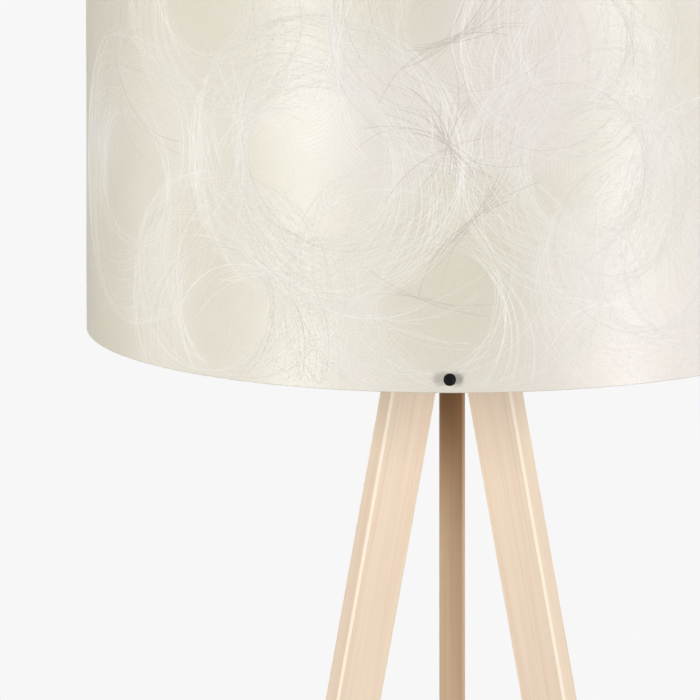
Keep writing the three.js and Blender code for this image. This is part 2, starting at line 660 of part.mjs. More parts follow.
/** The two-core lead: out of the switch's back, under the arm, and in at the lampholder's side. */
function leadGeometry() {
  const route = new THREE.CatmullRomCurve3([
    new THREE.Vector3(switchBack - FIT_GAP, 0, fixingHeight),
    new THREE.Vector3(switchBack - 8, 0, fixingHeight),
    leadPoint(switchBack - 34),
    leadPoint(switchBack - 60),
    leadPoint(switchBack * 0.6),
    leadPoint(switchBack * 0.45),
    leadPoint(HOLDER_DIAMETER * 1.7),
    new THREE.Vector3(HOLDER_DIAMETER, 0, leadHoleHeight + 2.5),
    new THREE.Vector3(HOLDER_DIAMETER * 0.7, 0, leadHoleHeight),
    new THREE.Vector3(ledgeRadius - LEAD_INSIDE_HOLDER, 0, leadHoleHeight),
  ]);
  return swept(route, LEAD_DIAMETER, 36, 4);
}

/** A loop of strip round the arm and the lead below it. */
function clipGeometry() {
  const loop = (radius, clockwise) => {
    const path = clockwise ? new THREE.Path() : new THREE.Shape();
    path.absarc(0, 0, radius, 0, Math.PI, false);
    path.absarc(0, -leadDrop, radius, Math.PI, 2 * Math.PI, false);
    return path;
  };
  const bore = ARM_ROD / 2 + FIT_GAP;
  const outline = loop(bore + CLIP_WALL, false);
  outline.holes.push(loop(bore, true));
  return alongX(plateFlat(outline, -CLIP_LENGTH / 2, CLIP_LENGTH, 5));
}

// ---- Assembly --------------------------------------------------------------------------------
const lamp = new THREE.Group();

for (const [place, azimuth] of Object.entries(LEG_AZIMUTHS)) {
  lamp.add(spoke(
    azimuth,
    named(`leg_${place}`, legGeometry(), ash),
    named(`glide_${place}`, glideGeometry(), softRubber),
    named(`leg_bracket_${place}`, bracketGeometry(), blackSteel),
    named(`pivot_bolt_${place}`, pivotBoltGeometry(), zincSteel),
    named(`pivot_nut_${place}`, pivotNutGeometry(), zincSteel),
    named(`inner_plate_screw_${place}`, plateScrewGeometry(plateScrewRadii[0]), zincSteel),
    named(`outer_plate_screw_${place}`, plateScrewGeometry(plateScrewRadii[1]), zincSteel),
  ));
}

lamp.add(
  named('hub_plate', hubPlateGeometry(), blackSteel),
  named('cord_grommet', grommetGeometry(), softRubber),
  named('holder_nipple', nippleGeometry(), zincSteel),
  named('holder_locknut', locknutGeometry(), zincSteel),
  named('lampholder_base', holderBaseGeometry(), holderPlastic),
  named('lampholder_insert', holderInsertGeometry(), ceramic),
  named('centre_contact', centreContactGeometry(), brass),
  named('side_contact', sideContactGeometry(), brass),
  named('lampholder_skirt', holderSkirtGeometry(), holderPlastic),
  named('shade_nut', shadeNutGeometry(), holderPlastic),
  named('bulb_tip', bulbTipGeometry(), brass),
  named('bulb_cap', bulbCapGeometry(), bulbMetal),
  named('bulb_glass', bulbGlassGeometry(), opalGlass),
  named('shade_carrier', carrierGeometry(), whiteWire),
  named('shade_sheet', sheetGeometry(), laminate),
  named('lower_ring', ringGeometry(lowerRingHeight), whiteWire),
  named('upper_ring', ringGeometry(upperRingHeight), whiteWire),
);

lamp.add(
  spoke(ARM_AZIMUTHS.right, named('shade_screw_right', shadeScrewGeometry(), blackCap)),
  spoke(ARM_AZIMUTHS.left, named('shade_screw_left', shadeScrewGeometry(), blackCap)),
  spoke(
    ARM_AZIMUTHS.front,
    named('switch_body', switchBodyGeometry(), blackCap),
    named('switch_nut', switchNutGeometry(), zincSteel),
    named('switch_button', buttonGeometry(), blackCap),
    named('switch_lead', leadGeometry(), finish('#d9d6cf', 0.7)),
  ),
);

CLIP_PLACES.forEach((share, index) => {
  const clip = named(`lead_clip_${index + 1}`, clipGeometry(), softRubber);
  clip.position.lerpVectors(armStart, armEnd, share);
  clip.rotation.y = armSlope;
  lamp.add(spoke(ARM_AZIMUTHS.front, clip));
});

export default lamp;
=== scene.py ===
"""Looks of the tripod floor lamp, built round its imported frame.

Metres throughout. The floor is z = 0, the lamp's axis is x = y = 0, the rear leg points to +Y
and the push button faces -Y. The sections follow the lamp as it is put together.
"""
import json
import math

import bpy
import numpy as np
from mathutils import Matrix, Vector


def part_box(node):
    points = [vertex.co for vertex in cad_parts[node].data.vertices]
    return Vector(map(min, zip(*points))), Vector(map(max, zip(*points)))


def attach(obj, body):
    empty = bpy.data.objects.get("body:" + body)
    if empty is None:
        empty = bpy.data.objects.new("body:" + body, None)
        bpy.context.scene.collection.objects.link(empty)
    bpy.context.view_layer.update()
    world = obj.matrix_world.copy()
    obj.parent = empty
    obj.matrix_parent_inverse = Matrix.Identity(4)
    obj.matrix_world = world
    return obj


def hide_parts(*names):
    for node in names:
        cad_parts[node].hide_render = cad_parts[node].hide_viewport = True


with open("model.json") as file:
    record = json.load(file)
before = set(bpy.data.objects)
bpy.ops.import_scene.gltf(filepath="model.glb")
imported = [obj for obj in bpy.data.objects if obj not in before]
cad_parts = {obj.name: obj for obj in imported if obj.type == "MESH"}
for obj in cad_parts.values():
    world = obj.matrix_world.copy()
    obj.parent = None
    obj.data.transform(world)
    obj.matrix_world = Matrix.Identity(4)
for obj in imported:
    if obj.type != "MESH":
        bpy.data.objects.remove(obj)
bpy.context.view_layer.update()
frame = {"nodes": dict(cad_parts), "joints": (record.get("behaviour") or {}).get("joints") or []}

# ---- Camera ------------------------------------------------------------------------------------
# A long lens from across the room, a little above the shade's lower edge, so that the drum's
# sides stand upright and only its lower edge curves. The lamp stands right of the middle.
CAMERA_DISTANCE = 17.0
CAMERA_ELEVATION = math.radians(10.35)
CAMERA_AZIMUTH = math.radians(0.6)
PICTURE_WIDTH = 0.5753  # of the plane through the lamp's axis
AXIS_RIGHT_OF_MIDDLE = 0.0837
EDGE_ABOVE_MIDDLE = 0.0196  # the shade's lower edge
SENSOR_WIDTH = 36.0

shade_low, shade_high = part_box("shade_sheet")
aim = Vector((-AXIS_RIGHT_OF_MIDDLE, 0, shade_low.z - EDGE_ABOVE_MIDDLE))
backwards = Vector((
    math.sin(CAMERA_AZIMUTH) * math.cos(CAMERA_ELEVATION),
    -math.cos(CAMERA_AZIMUTH) * math.cos(CAMERA_ELEVATION),
    math.sin(CAMERA_ELEVATION),
))
camera = bpy.data.objects.new("camera", bpy.data.cameras.new("camera"))
camera.data.sensor_width = SENSOR_WIDTH
camera.data.lens = SENSOR_WIDTH * CAMERA_DISTANCE / PICTURE_WIDTH
camera.location = aim + CAMERA_DISTANCE * backwards
camera.rotation_euler = (-backwards).to_track_quat("-Z", "Y").to_euler()
bpy.context.scene.collection.objects.link(camera)
bpy.context.scene.camera = camera

# ---- Studio ------------------------------------------------------------------------------------
# A pale room: a floor that fades into the bright backdrop, a weak even fill from all round, two
# tall soft boxes at the front corners that make the drum's two pale bands, one at each side and
# two behind that give no reflections.
BACKDROP = 0.930
FILL = 0.09
BOXES = {  # degrees from the front, height, power in watts
    "left": (-46, 1.30, 56), "right": (54, 1.22, 51),
    "left_side": (-98, 1.30, 6), "right_side": (96, 1.30, 14),
    "left_back": (-150, 1.45, 30), "right_back": (150, 1.45, 30),
}
NO_GLOSS_BEYOND = 135  # degrees: the boxes farther round give no reflections
BOX_DISTANCE = 2.7
BOX_SIZE = (0.55, 1.7)
FLOOR_GREY = 0.36
FLOOR_GLOW = 0.52  # added to the floor as it is seen, but not to the light it gives
FLOOR_RADIUS = 5.0
FLOOR_SIDES = 96
FLOOR_FADE = (1.2, 3.6)  # from full floor to none, as distances from the lamp


def round_angles(count):
    """Evenly spaced angles, once round a circle."""
    return np.linspace(0, 2 * np.pi, count, endpoint=False)


def add_node(tree, kind, inputs=None, **settings):
    """A shader node with its settings made and each input set to a value or linked to a socket."""
    node = tree.nodes.new(kind)
    for key, value in settings.items():
        setattr(node, key, value)
    for key, value in (inputs or {}).items():
        if isinstance(value, bpy.types.NodeSocket):
            tree.links.new(value, node.inputs[key])
        else:
            node.inputs[key].default_value = value
    return node


def calc(tree, operation, *values, **settings):
    """The result of a Math node."""
    return add_node(tree, "ShaderNodeMath", dict(enumerate(values)), operation=operation,
                    **settings).outputs[0]


def ranged(tree, value, low, high, to_low=0.0, to_high=1.0, smooth=False):
    """A value taken from one range to another, and held inside it."""
    return add_node(tree, "ShaderNodeMapRange", {
        "Value": value, "From Min": low, "From Max": high, "To Min": to_low, "To Max": to_high},
        interpolation_type="SMOOTHSTEP" if smooth else "LINEAR").outputs[0]


def object_place(tree):
    """Where the point is, in its object's own axes."""
    return add_node(tree, "ShaderNodeTexCoord").outputs["Object"]


def new_material(name):
    """An empty node material and its tree."""
    material = bpy.data.materials.new(name)
    material.use_nodes = True
    material.node_tree.nodes.clear()
    return material, material.node_tree


def softbox(name, azimuth, height, power):
    """A tall area light at an azimuth from the front, turned to face the shade."""
    data = bpy.data.lights.new(name, "AREA")
    data.shape = "RECTANGLE"
    data.size, data.size_y = BOX_SIZE
    data.energy = power
    light = bpy.data.objects.new(name, data)
    angle = math.radians(azimuth)
    away = Vector((math.sin(angle), -math.cos(angle), 0))
    light.location = away * BOX_DISTANCE + Vector((0, 0, height))
    light.rotation_euler = (-away).to_track_quat("-Z", "Y").to_euler()
    light.visible_glossy = abs(azimuth) < NO_GLOSS_BEYOND
    bpy.context.scene.collection.objects.link(light)


for side, (azimuth, height, power) in BOXES.items():
    softbox(f"softbox_{side}", azimuth, height, power)

world = bpy.data.worlds.new("room")
world.use_nodes = True
room = world.node_tree
room.nodes.clear()
seen = add_node(room, "ShaderNodeLightPath").outputs["Is Camera Ray"]
glow = add_node(room, "ShaderNodeBackground", {"Color": (1, 1, 1, 1), "Strength": FILL})
backdrop = add_node(room, "ShaderNodeBackground", {"Color": (BACKDROP,) * 3 + (1,)})
mixed = add_node(room, "ShaderNodeMixShader",
                 {0: seen, 1: glow.outputs[0], 2: backdrop.outputs[0]})
add_node(room, "ShaderNodeOutputWorld", {"Surface": mixed.outputs[0]})
bpy.context.scene.world = world
bpy.context.scene.view_settings.view_transform = "Standard"

angles = round_angles(FLOOR_SIDES)
floor_mesh = bpy.data.meshes.new("floor")
rim = np.stack([FLOOR_RADIUS * np.cos(angles), FLOOR_RADIUS * np.sin(angles), 0 * angles], 1)
floor_mesh.from_pydata(rim.tolist(), [], [list(range(FLOOR_SIDES))])
floor = bpy.data.objects.new("floor", floor_mesh)
bpy.context.scene.collection.objects.link(floor)
floor_material, tree = new_material("pale floor")
place = object_place(tree)
reach = add_node(tree, "ShaderNodeVectorMath", {0: place}, operation="LENGTH").outputs["Value"]
fade = ranged(tree, reach, *FLOOR_FADE, smooth=True)
matt = add_node(tree, "ShaderNodeBsdfDiffuse", {"Color": (FLOOR_GREY,) * 3 + (1,)})
seen = add_node(tree, "ShaderNodeLightPath").outputs["Is Camera Ray"]
lift = calc(tree, "MULTIPLY", seen, FLOOR_GLOW)
paled = add_node(tree, "ShaderNodeEmission", {"Color": (1, 1, 1, 1), "Strength": lift})
above = add_node(tree, "ShaderNodeAddShader", {0: matt.outputs[0], 1: paled.outputs[0]})
clear = add_node(tree, "ShaderNodeBsdfTransparent")
below = add_node(tree, "ShaderNodeNewGeometry").outputs["Backfacing"]
mixed = add_node(tree, "ShaderNodeMixShader", {
    0: calc(tree, "MAXIMUM", fade, below), 1: above.outputs[0], 2: clear.outputs[0]})
add_node(tree, "ShaderNodeOutputMaterial", {"Surface": mixed.outputs[0]})
floor_mesh.materials.append(floor_material)

# ---- Legs --------------------------------------------------------------------------------------
# Three straight planed lengths of pale ash, 21 by 42 mm, with a 2 mm chamfer down every long
# edge. Clear-sanded and oiled thinly, so the grain is soft. The chamfers are painted pale as a
# painted highlight; the rear leg is painted darker, most at its upper end, as painted shade.
LEG_PLACES = {"rear": 90, "front_left": 210, "front_right": 330}
EDGE_SOFTENING = 0.0003  # sanded radius left on the timber's edges
PALE_ASH = (0.905, 0.745, 0.590, 1)
PINK_ASH = (0.875, 0.692, 0.535, 1)
DARK_ASH = (0.700, 0.500, 0.345, 1)
BOARD_TONES_AND_PAINTED_SHADE = {  # each leg is from its own board; the rear one is painted darker, as painted shade under the shade and behind the front legs
    "rear": (0.600, 0.535, 0.445), "front_left": (0.97, 0.965, 0.95),
    "front_right": (0.97, 0.965, 0.95),
}
# painted highlight: the front legs' chamfers painted pale, where their edges catch the light
CHAMFER_PAINTED_HIGHLIGHT = (0.955, 0.850, 0.700, 1)
CHAMFER_PAINTED_SHADE = (0.62, 0.45, 0.31, 1)  # the rear leg's chamfers, painted dark as painted shade
PAINTED_TOP_SHADE = (0.56, 0.40, 0.24, 1)  # painted shade: multiplies the rear leg's colour toward its upper end
PAINTED_SHADE_HEIGHTS = (0.93, 1.13)  # of the painted shade, from none to full
leg_splay = math.radians(frame["joints"][0]["range_deg"][1])


def shader_group(name, inputs, *outputs):
    """An empty shader node group with its named sockets, the sockets that bring its inputs, and its
    end node. An input without a default is a vector; Color is the only output that is a colour."""
    group = bpy.data.node_groups.new(name, "ShaderNodeTree")
    for label, value in inputs.items():
        kind = "Vector" if value is None else "Float" if isinstance(value, float) else "Color"
        socket = group.interface.new_socket(label, in_out="INPUT", socket_type="NodeSocket" + kind)
        if value is not None:
            socket.default_value = value
    for label in outputs:
        kind = "Color" if label == "Color" else "Float"
        group.interface.new_socket(label, in_out="OUTPUT", socket_type="NodeSocket" + kind)
    return group, group.nodes.new("NodeGroupInput").outputs, group.nodes.new("NodeGroupOutput")


def put_out(group, result, **values):
    """Links a group's named outputs."""
    for label, value in values.items():
        group.links.new(value, result.inputs[label])


def noise(tree, place, scale, detail, **inputs):
    """Noise from 0 to 1."""
    return add_node(tree, "ShaderNodeTexNoise", {
        "Vector": place, "Scale": scale, "Detail": detail, **inputs}).outputs["Fac"]


def blended(tree, share, first, second, **settings):
    """Two colours mixed by a share of the second."""
    return add_node(tree, "ShaderNodeMix", {"Factor": share, "A": first, "B": second},
                    data_type="RGBA", **settings).outputs["Result"]


def skinned(tree, sockets):
    """Ends a material in a Principled shader with these sockets set or linked."""
    skin = add_node(tree, "ShaderNodeBsdfPrincipled", sockets)
    add_node(tree, "ShaderNodeOutputMaterial", {"Surface": skin.outputs[0]})


def timber_group():
    """Lengthwise grain: noise stretched along Z, three widths of it, in the leg's own axes."""
    group, given, result = shader_group("timber grain", {
        "Vector": None, "Pale": PALE_ASH, "Pink": PINK_ASH, "Dark": DARK_ASH,
    }, "Color", "Roughness", "Height")

    def stretched(across, along, detail, distortion=0.0):
        scaled = add_node(group, "ShaderNodeVectorMath", {
            0: given["Vector"], 1: (across, across, along)}, operation="MULTIPLY")
        return noise(group, scaled.outputs[0], 1.0, detail, Distortion=distortion)

    figure = stretched(95, 2.6, 2, 0.6)  # the board's broad growth bands
    streaks = stretched(420, 5, 3)  # early and late wood
    pores = stretched(1900, 34, 2)  # short open pores
    ground = blended(group, ranged(group, figure, 0.38, 0.66), given["Pale"], given["Pink"])
    lined = blended(group, ranged(group, streaks, 0.50, 0.74, 0, 0.30), ground, given["Dark"])
    pored = ranged(group, pores, 0.60, 0.74, 0, 0.28)
    put_out(group, result, Color=blended(group, pored, lined, given["Dark"]),
            Roughness=ranged(group, streaks, 0, 1, 0.62, 0.44),
            Height=calc(group, "SUBTRACT", streaks, pored))
    return group


timber = timber_group()


def timber_material(name, azimuth, board, in_painted_shade):
    """Ash turned into one leg's axes: Z along the leg, Y across its narrow side. The chamfers are
    painted pale as a painted highlight; a leg in painted shade instead gets dark chamfers and is
    painted darker smoothly toward its upper end."""
    material, tree = new_material(name)
    turn = Matrix.Rotation(leg_splay, 3, "Y") @ Matrix.Rotation(-math.radians(azimuth), 3, "Z")
    coordinates = add_node(tree, "ShaderNodeTexCoord").outputs
    along = add_node(tree, "ShaderNodeMapping", {
        "Vector": coordinates["Object"], "Rotation": turn.to_euler("XYZ"),
        "Location": (azimuth * 0.013, azimuth * 0.007, 0)})  # another place in the noise for each
    tones = {label: [a * b for a, b in zip(tone, (*board, 1))]
             for label, tone in (("Pale", PALE_ASH), ("Pink", PINK_ASH), ("Dark", DARK_ASH))}
    grain = add_node(tree, "ShaderNodeGroup", {"Vector": along.outputs[0], **tones}, node_tree=timber)
    facing = add_node(tree, "ShaderNodeMapping", {
        "Vector": coordinates["Normal"], "Rotation": turn.to_euler("XYZ")}, vector_type="VECTOR")
    sides = add_node(tree, "ShaderNodeSeparateXYZ", {0: facing.outputs[0]}).outputs
    slant = calc(tree, "ABSOLUTE", calc(tree, "MULTIPLY", sides["X"], sides["Y"]))
    # The chamfers are painted: a painted highlight on the front legs, painted shade on the rear one.
    painted_chamfer = CHAMFER_PAINTED_SHADE if in_painted_shade else CHAMFER_PAINTED_HIGHLIGHT
    tinted = blended(tree, ranged(tree, slant, 0.25, 0.45, 0, 0.8), grain.outputs["Color"], painted_chamfer)
    # Painted shade: the rear leg's colour darkens toward its upper end, under the shade.
    if in_painted_shade:
        height = add_node(tree, "ShaderNodeSeparateXYZ", {0: coordinates["Object"]}).outputs["Z"]
        share = ranged(tree, height, *PAINTED_SHADE_HEIGHTS, smooth=True)
        tinted = blended(tree, share, tinted, PAINTED_TOP_SHADE, blend_type="MULTIPLY")
    bump = add_node(tree, "ShaderNodeBump", {
        "Height": grain.outputs["Height"], "Strength": 0.35, "Distance": 0.00012})
    skinned(tree, {
        "Base Color": tinted, "Roughness": grain.outputs["Roughness"],
        "Normal": bump.outputs[0], "Specular IOR Level": 0.35})
    return material


def eased(node, radius, segments=2):
    """A CAD node with its loose triangles joined and its sharp edges rounded, by modifiers only."""
    weld = node.modifiers.new("joined corners", "WELD")
    weld.merge_threshold = 1e-6
    bevel = node.modifiers.new("eased edges", "BEVEL")
    bevel.width = radius
    bevel.segments = segments
    bevel.limit_method = "ANGLE"
    bevel.angle_limit = math.radians(30)
    bevel.use_clamp_overlap = True


def finished(node_name, material):
    """Gives a CAD node its finish."""
    node = frame["nodes"][node_name]
    for slot in node.material_slots:
        slot.material = material
    return node


for place, azimuth in LEG_PLACES.items():
    # The rear leg gets painted shade, the front legs painted highlights on their chamfers.
    ash = timber_material(f"ash, {place} leg", azimuth, BOARD_TONES_AND_PAINTED_SHADE[place], in_painted_shade=place == "rear")
    leg = finished(f"leg_{place}", ash)
    eased(leg, EDGE_SOFTENING)

# ---- Glides ------------------------------------------------------------------------------------
# A round pad of hard black rubber under each foot, moulded with a raised rim on a steel pin that
# is knocked up into the end grain. The pads are what the lamp stands on.
GLIDE_RADIUS = 0.0085
GLIDE_HEIGHT = 0.005
GLIDE_DISH = 0.0007  # hollow in the underside, inside the rim it stands on
GLIDE_PIN_RADIUS = 0.002
GLIDE_PIN_TOP = 0.019
RUBBER = (0.020, 0.019, 0.018, 1)
SMOOTH_UP_TO = 32  # degrees: a sharper edge between two faces stays a crease


def handled_group():
    """Cloudy marks and a fine tooth: two widths of noise that vary colour, roughness and height."""
    group, given, result = shader_group("handled surface", {
        "Color": (0.5, 0.5, 0.5, 1), "Roughness": 0.5, "Marks": 0.2,
        "Cloud Scale": 60.0, "Tooth Scale": 1500.0,
    }, "Color", "Roughness", "Height")
    place = object_place(group)
    cloud = noise(group, place, given["Cloud Scale"], 4.0)
    tooth = noise(group, place, given["Tooth Scale"], 2.0)
    swing = calc(group, "SUBTRACT", calc(group, "ADD", cloud, tooth), 1.0)
    marked = calc(group, "MULTIPLY", swing, given["Marks"])
    tinted = add_node(group, "ShaderNodeVectorMath", {
        0: given["Color"], "Scale": calc(group, "ADD", marked, 1.0)}, operation="SCALE").outputs[0]
    rough = calc(group, "ADD", given["Roughness"], marked, use_clamp=True)
    put_out(group, result, Color=tinted, Roughness=rough, Height=tooth)
    return group


handled = handled_group()


def handled_surface(tree, color, roughness, marks, cloud, tooth):
    """The outputs of the handled surface with its values set."""
    return add_node(tree, "ShaderNodeGroup", {
        "Color": color, "Roughness": roughness, "Marks": marks,
        "Cloud Scale": cloud, "Tooth Scale": tooth}, node_tree=handled).outputs


def handled_material(name, color, roughness, marks=0.2, cloud=60.0, tooth=1500.0, depth=0.00005, **sockets):
    """A plain finish with cloudy marks and a fine tooth; extra sockets go to the shader as they are."""
    material, tree = new_material(name)
    surface = handled_surface(tree, color, roughness, marks, cloud, tooth)
    bump = add_node(tree, "ShaderNodeBump", {
        "Height": surface["Height"], "Strength": 0.6, "Distance": depth})
    skinned(tree, {"Base Color": surface["Color"], "Roughness": surface["Roughness"],
                   "Normal": bump.outputs[0], **sockets})
    return material


def eased_outline(points, radius, closed, steps=4):
    """Each corner is cut back by the radius along both its sides and joined by a quadratic curve."""
    points = np.asarray(points, float)
    before = np.roll(points, 1, 0) - points
    after = np.roll(points, -1, 0) - points
    long_before = np.linalg.norm(before, axis=1)
    long_after = np.linalg.norm(after, axis=1)
    cut = np.minimum(radius, 0.45 * np.minimum(long_before, long_after))
    if not closed:
        cut[[0, -1]] = 0
    start = points + before * (cut / long_before)[:, None]
    end = points + after * (cut / long_after)[:, None]
    t = np.linspace(0, 1, steps)[None, :, None]
    arcs = (1 - t) ** 2 * start[:, None] + 2 * t * (1 - t) * points[:, None] + t ** 2 * end[:, None]
    keep = np.ones(arcs.shape[:2], bool)
    keep[cut < 1e-7, 1:] = False
    return arcs[keep]


def grid_faces(rows, columns, rows_close, columns_close):
    """Quads of a grid of points, row by row, closed round either way where asked."""
    i = np.arange(rows if rows_close else rows - 1)[:, None]
    j = np.arange(columns if columns_close else columns - 1)[None, :]
    up, across = (i + 1) % rows, (j + 1) % columns
    corners = [i * columns + j, i * columns + across, up * columns + across, up * columns + j]
    return np.stack([np.broadcast_to(c, (i.size, j.size)) for c in corners], -1).reshape(-1, 4)


def turned(radius, height, sides=64):
    """Surface of revolution: (r cos a, r sin a, z) for a profile's radii and heights. A radius may
    have a value for every angle. A profile that starts and ends on the axis is closed by fans
    there, and any other is closed back to its first point."""
    if radius.ndim == 1:
        radius = np.repeat(radius[:, None], sides, 1)
    poled = radius[0, 0] < 1e-9
    inner = slice(1, -1) if poled else slice(None)
    angle = round_angles(sides)
    ring_r, ring_z = radius[inner], np.repeat(height[inner, None], sides, 1)
    points = np.stack([ring_r * np.cos(angle), ring_r * np.sin(angle), ring_z], -1).reshape(-1, 3)
    rows = len(ring_r)
    faces = [grid_faces(rows, sides, not poled, True)]
    if poled:
        here = np.arange(sides)
        beyond = (here + 1) % sides
        bottom, top = rows * sides, rows * sides + 1
        last = (rows - 1) * sides
        points = np.vstack([points, [[0, 0, height[0]], [0, 0, height[-1]]]])
        faces.append(np.stack([np.full(sides, bottom), beyond, here], 1))
        faces.append(np.stack([np.full(sides, top), last + here, last + beyond], 1))
    return points, faces


def moved(shape, origin=(0, 0, 0), axis=(0, 0, 1)):
    """A shape with its Z turned to an axis, the shortest way, and its origin set at a point."""
    points, faces = shape
    turn = np.array(Vector((0, 0, 1)).rotation_difference(Vector(axis)).to_matrix())
    return points @ turn.T + np.asarray(origin, float), faces


def joined(shapes):
    """Several closed shapes as the points and faces of one piece."""
    starts = np.cumsum([0] + [len(points) for points, _ in shapes])
    points = np.vstack([points for points, _ in shapes])
    faces = [part + start for (_, parts), start in zip(shapes, starts) for part in parts]
    return points, faces


def piece(name, shape, material, body, stands_for=(), crease=SMOOTH_UP_TO):
    points, faces = shape
    loops = np.concatenate([part.ravel() for part in faces])
    sizes = np.concatenate([np.full(len(part), part.shape[1]) for part in faces])
    mesh = bpy.data.meshes.new(name)
    mesh.vertices.add(len(points))
    mesh.vertices.foreach_set("co", points.astype(np.float32).ravel())
    mesh.loops.add(len(loops))
    mesh.loops.foreach_set("vertex_index", loops.astype(np.int32))
    mesh.polygons.add(len(sizes))
    mesh.polygons.foreach_set("loop_start", (np.cumsum(sizes) - sizes).astype(np.int32))
    mesh.update(calc_edges=True)
    mesh.shade_smooth()
    mesh.set_sharp_from_angle(angle=math.radians(crease))
    mesh.materials.append(material)
    item = bpy.data.objects.new(name, mesh)
    bpy.context.scene.collection.objects.link(item)
    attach(item, body)
    if stands_for:
        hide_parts(*stands_for)
    return item


hard_rubber = handled_material("hard black rubber", RUBBER, 0.72, marks=0.35, tooth=2600.0)
glide_outline = [
    (0, GLIDE_DISH), (GLIDE_RADIUS - 0.0026, GLIDE_DISH), (GLIDE_RADIUS - 0.0022, 0),
    (GLIDE_RADIUS - 0.0008, 0), (GLIDE_RADIUS, 0.0010), (GLIDE_RADIUS, GLIDE_HEIGHT),
    (GLIDE_PIN_RADIUS, GLIDE_HEIGHT), (GLIDE_PIN_RADIUS, GLIDE_PIN_TOP - 0.003), (0, GLIDE_PIN_TOP),
]
for place in LEG_PLACES:
    low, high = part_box(f"glide_{place}")
    foot = ((low.x + high.x) / 2, (low.y + high.y) / 2, low.z)
    glide = moved(turned(*eased_outline(glide_outline, 0.0005, closed=False).T, 48), foot)
    piece(f"foot_glide_{place}", glide, hard_rubber, f"{place}_leg", [f"glide_{place}"])

# ---- Leg brackets ------------------------------------------------------------------------------
# A U folded from 3 mm steel over the top of each leg: a web that is screwed up under the hub plate
# and two round-ended ears for the pivot bolt. Powder-coated black, with a slight orange peel.
FOLD_EASE = 0.0006
BLACK_COAT = (0.016, 0.016, 0.017, 1)

black_coat = handled_material("black powder coat", BLACK_COAT, 0.46, marks=0.15, cloud=40.0,
                              tooth=900.0, depth=0.00009)
for place in LEG_PLACES:
    eased(finished(f"leg_bracket_{place}", black_coat), FOLD_EASE, 3)

# ---- Pivot bolts and nuts ----------------------------------------------------------------------
# A zinc-plated socket-head bolt through both ears and the leg, held by a hexagon nut. The leg
# folds on it. The thread shows for a turn past the nut.
ZINC = (0.56, 0.57, 0.58, 1)
SOCKET_FLATS = 0.004
SOCKET_DEPTH = 0.0022
THREAD_DEPTH = 0.0004
BOLT_HEAD = (0.005, 0.004)  # radius and height
BOLT_RADIUS = 0.003
THREAD_SHOWN = 0.001  # past the nut
EAR_OUTSIDE = 0.0141  # from the leg's middle to the bolt's head
NUT_FLATS = 0.010
NUT_HEIGHT = 0.005
BORE_GAP = 0.0003  # between a thread and the hole round it

zinc_plate = handled_material("zinc plate", ZINC, 0.30, marks=0.22, cloud=180.0, tooth=2200.0,
                              depth=0.00002, Metallic=1.0)


def six_sided(flats, angle):
    """Radius of a hexagon of that width across its flats: half the flats over the cosine of the
    angle from the nearest flat."""
    sixth = np.pi / 3
    return flats / 2 / np.cos((angle + sixth / 2) % sixth - sixth / 2)


def socket_screw(head_radius, head_height, shank_radius, length, sides=48):
    """Head from z = 0 up, a six-sided socket sunk in its lower face, shank up to the length."""
    angle = round_angles(sides)
    hexagon = six_sided(SOCKET_FLATS, angle)
    outline = eased_outline([
        (0, SOCKET_DEPTH), (1e-3, SOCKET_DEPTH), (1e-3, 0), (head_radius, 0), (head_radius, head_height),
        (shank_radius, head_height), (shank_radius, length), (0, length),
    ], 0.0004, closed=False)
    radius = np.repeat(outline[:, :1], sides, 1)
    in_socket = (outline[:, 1] <= SOCKET_DEPTH) & (outline[:, 0] > 0) & (outline[:, 0] < 1.5e-3)
    radius[in_socket] = hexagon + (outline[in_socket, :1] - 1e-3)
    return turned(radius, outline[:, 1], sides)


def hexagon_nut(flats, height, bore, sides=72):
    """A hexagon cut by a shallow cone at both ends, so that its corners are rounded off, with a bore."""
    angle = round_angles(sides)
    hexagon = six_sided(flats, angle)
    corner = flats / 2 / math.cos(math.pi / 6)
    cone = 0.35 * (corner - flats / 2)
    heights = np.array([0, 0, cone, height / 2, height - cone, height, height])
    rims = np.array([bore, flats / 2 * 0.95, corner, corner, corner, flats / 2 * 0.95, bore])
    radius = np.minimum(rims[:, None], np.where(rims[:, None] > bore, hexagon[None], bore))
    return turned(radius, heights, sides)


for joint in frame["joints"]:
    if joint["type"] != "hinge":
        continue
    place = joint["child"].removesuffix("_leg")
    azimuth = math.radians(LEG_PLACES[place])
    across = np.array([-math.sin(azimuth), math.cos(azimuth), 0])
    pivot = np.array(joint["pos_m"])
    head = pivot - across * (EAR_OUTSIDE + BOLT_HEAD[1])
    length = BOLT_HEAD[1] + 2 * EAR_OUTSIDE + NUT_HEIGHT + THREAD_SHOWN
    bolt = moved(socket_screw(*BOLT_HEAD, BOLT_RADIUS, length), head, across)
    piece(f"leg_bolt_{place}", bolt, zinc_plate, "head", [f"pivot_bolt_{place}"])
    nut = hexagon_nut(NUT_FLATS, NUT_HEIGHT, BOLT_RADIUS + BORE_GAP)
    nut = moved(nut, pivot + across * EAR_OUTSIDE, across)
    piece(f"leg_nut_{place}", nut, zinc_plate, "head", [f"pivot_nut_{place}"])

# ---- Hub plate and its screws ------------------------------------------------------------------
# A laser-cut 4 mm steel disc, powder-coated black like the brackets. Two button-headed socket
# screws hold each bracket under it, their tails flush with the web's underside.
PLATE_EASE = 0.0005
SCREW_HEAD = (0.00475, 0.00275)
SCREW_RADIUS = 0.0025

eased(finished("hub_plate", black_coat), PLATE_EASE, 3)
for place in LEG_PLACES:
    for row in ("inner", "outer"):
        node = f"{row}_plate_screw_{place}"
        low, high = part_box(node)
        top = ((low.x + high.x) / 2, (low.y + high.y) / 2, high.z)
        screw = moved(socket_screw(*SCREW_HEAD, SCREW_RADIUS, high.z - low.z), top, (0, 0, -1))
        piece(f"{row}_bracket_screw_{place}", screw, zinc_plate, "head", [node])

# ---- Cord grommet ------------------------------------------------------------------------------
# A soft rubber bush snapped into the plate's rear hole, with a rounded lip above and below, for
# the supply cord to pass through.
LIP_ROUNDING = 0.0009

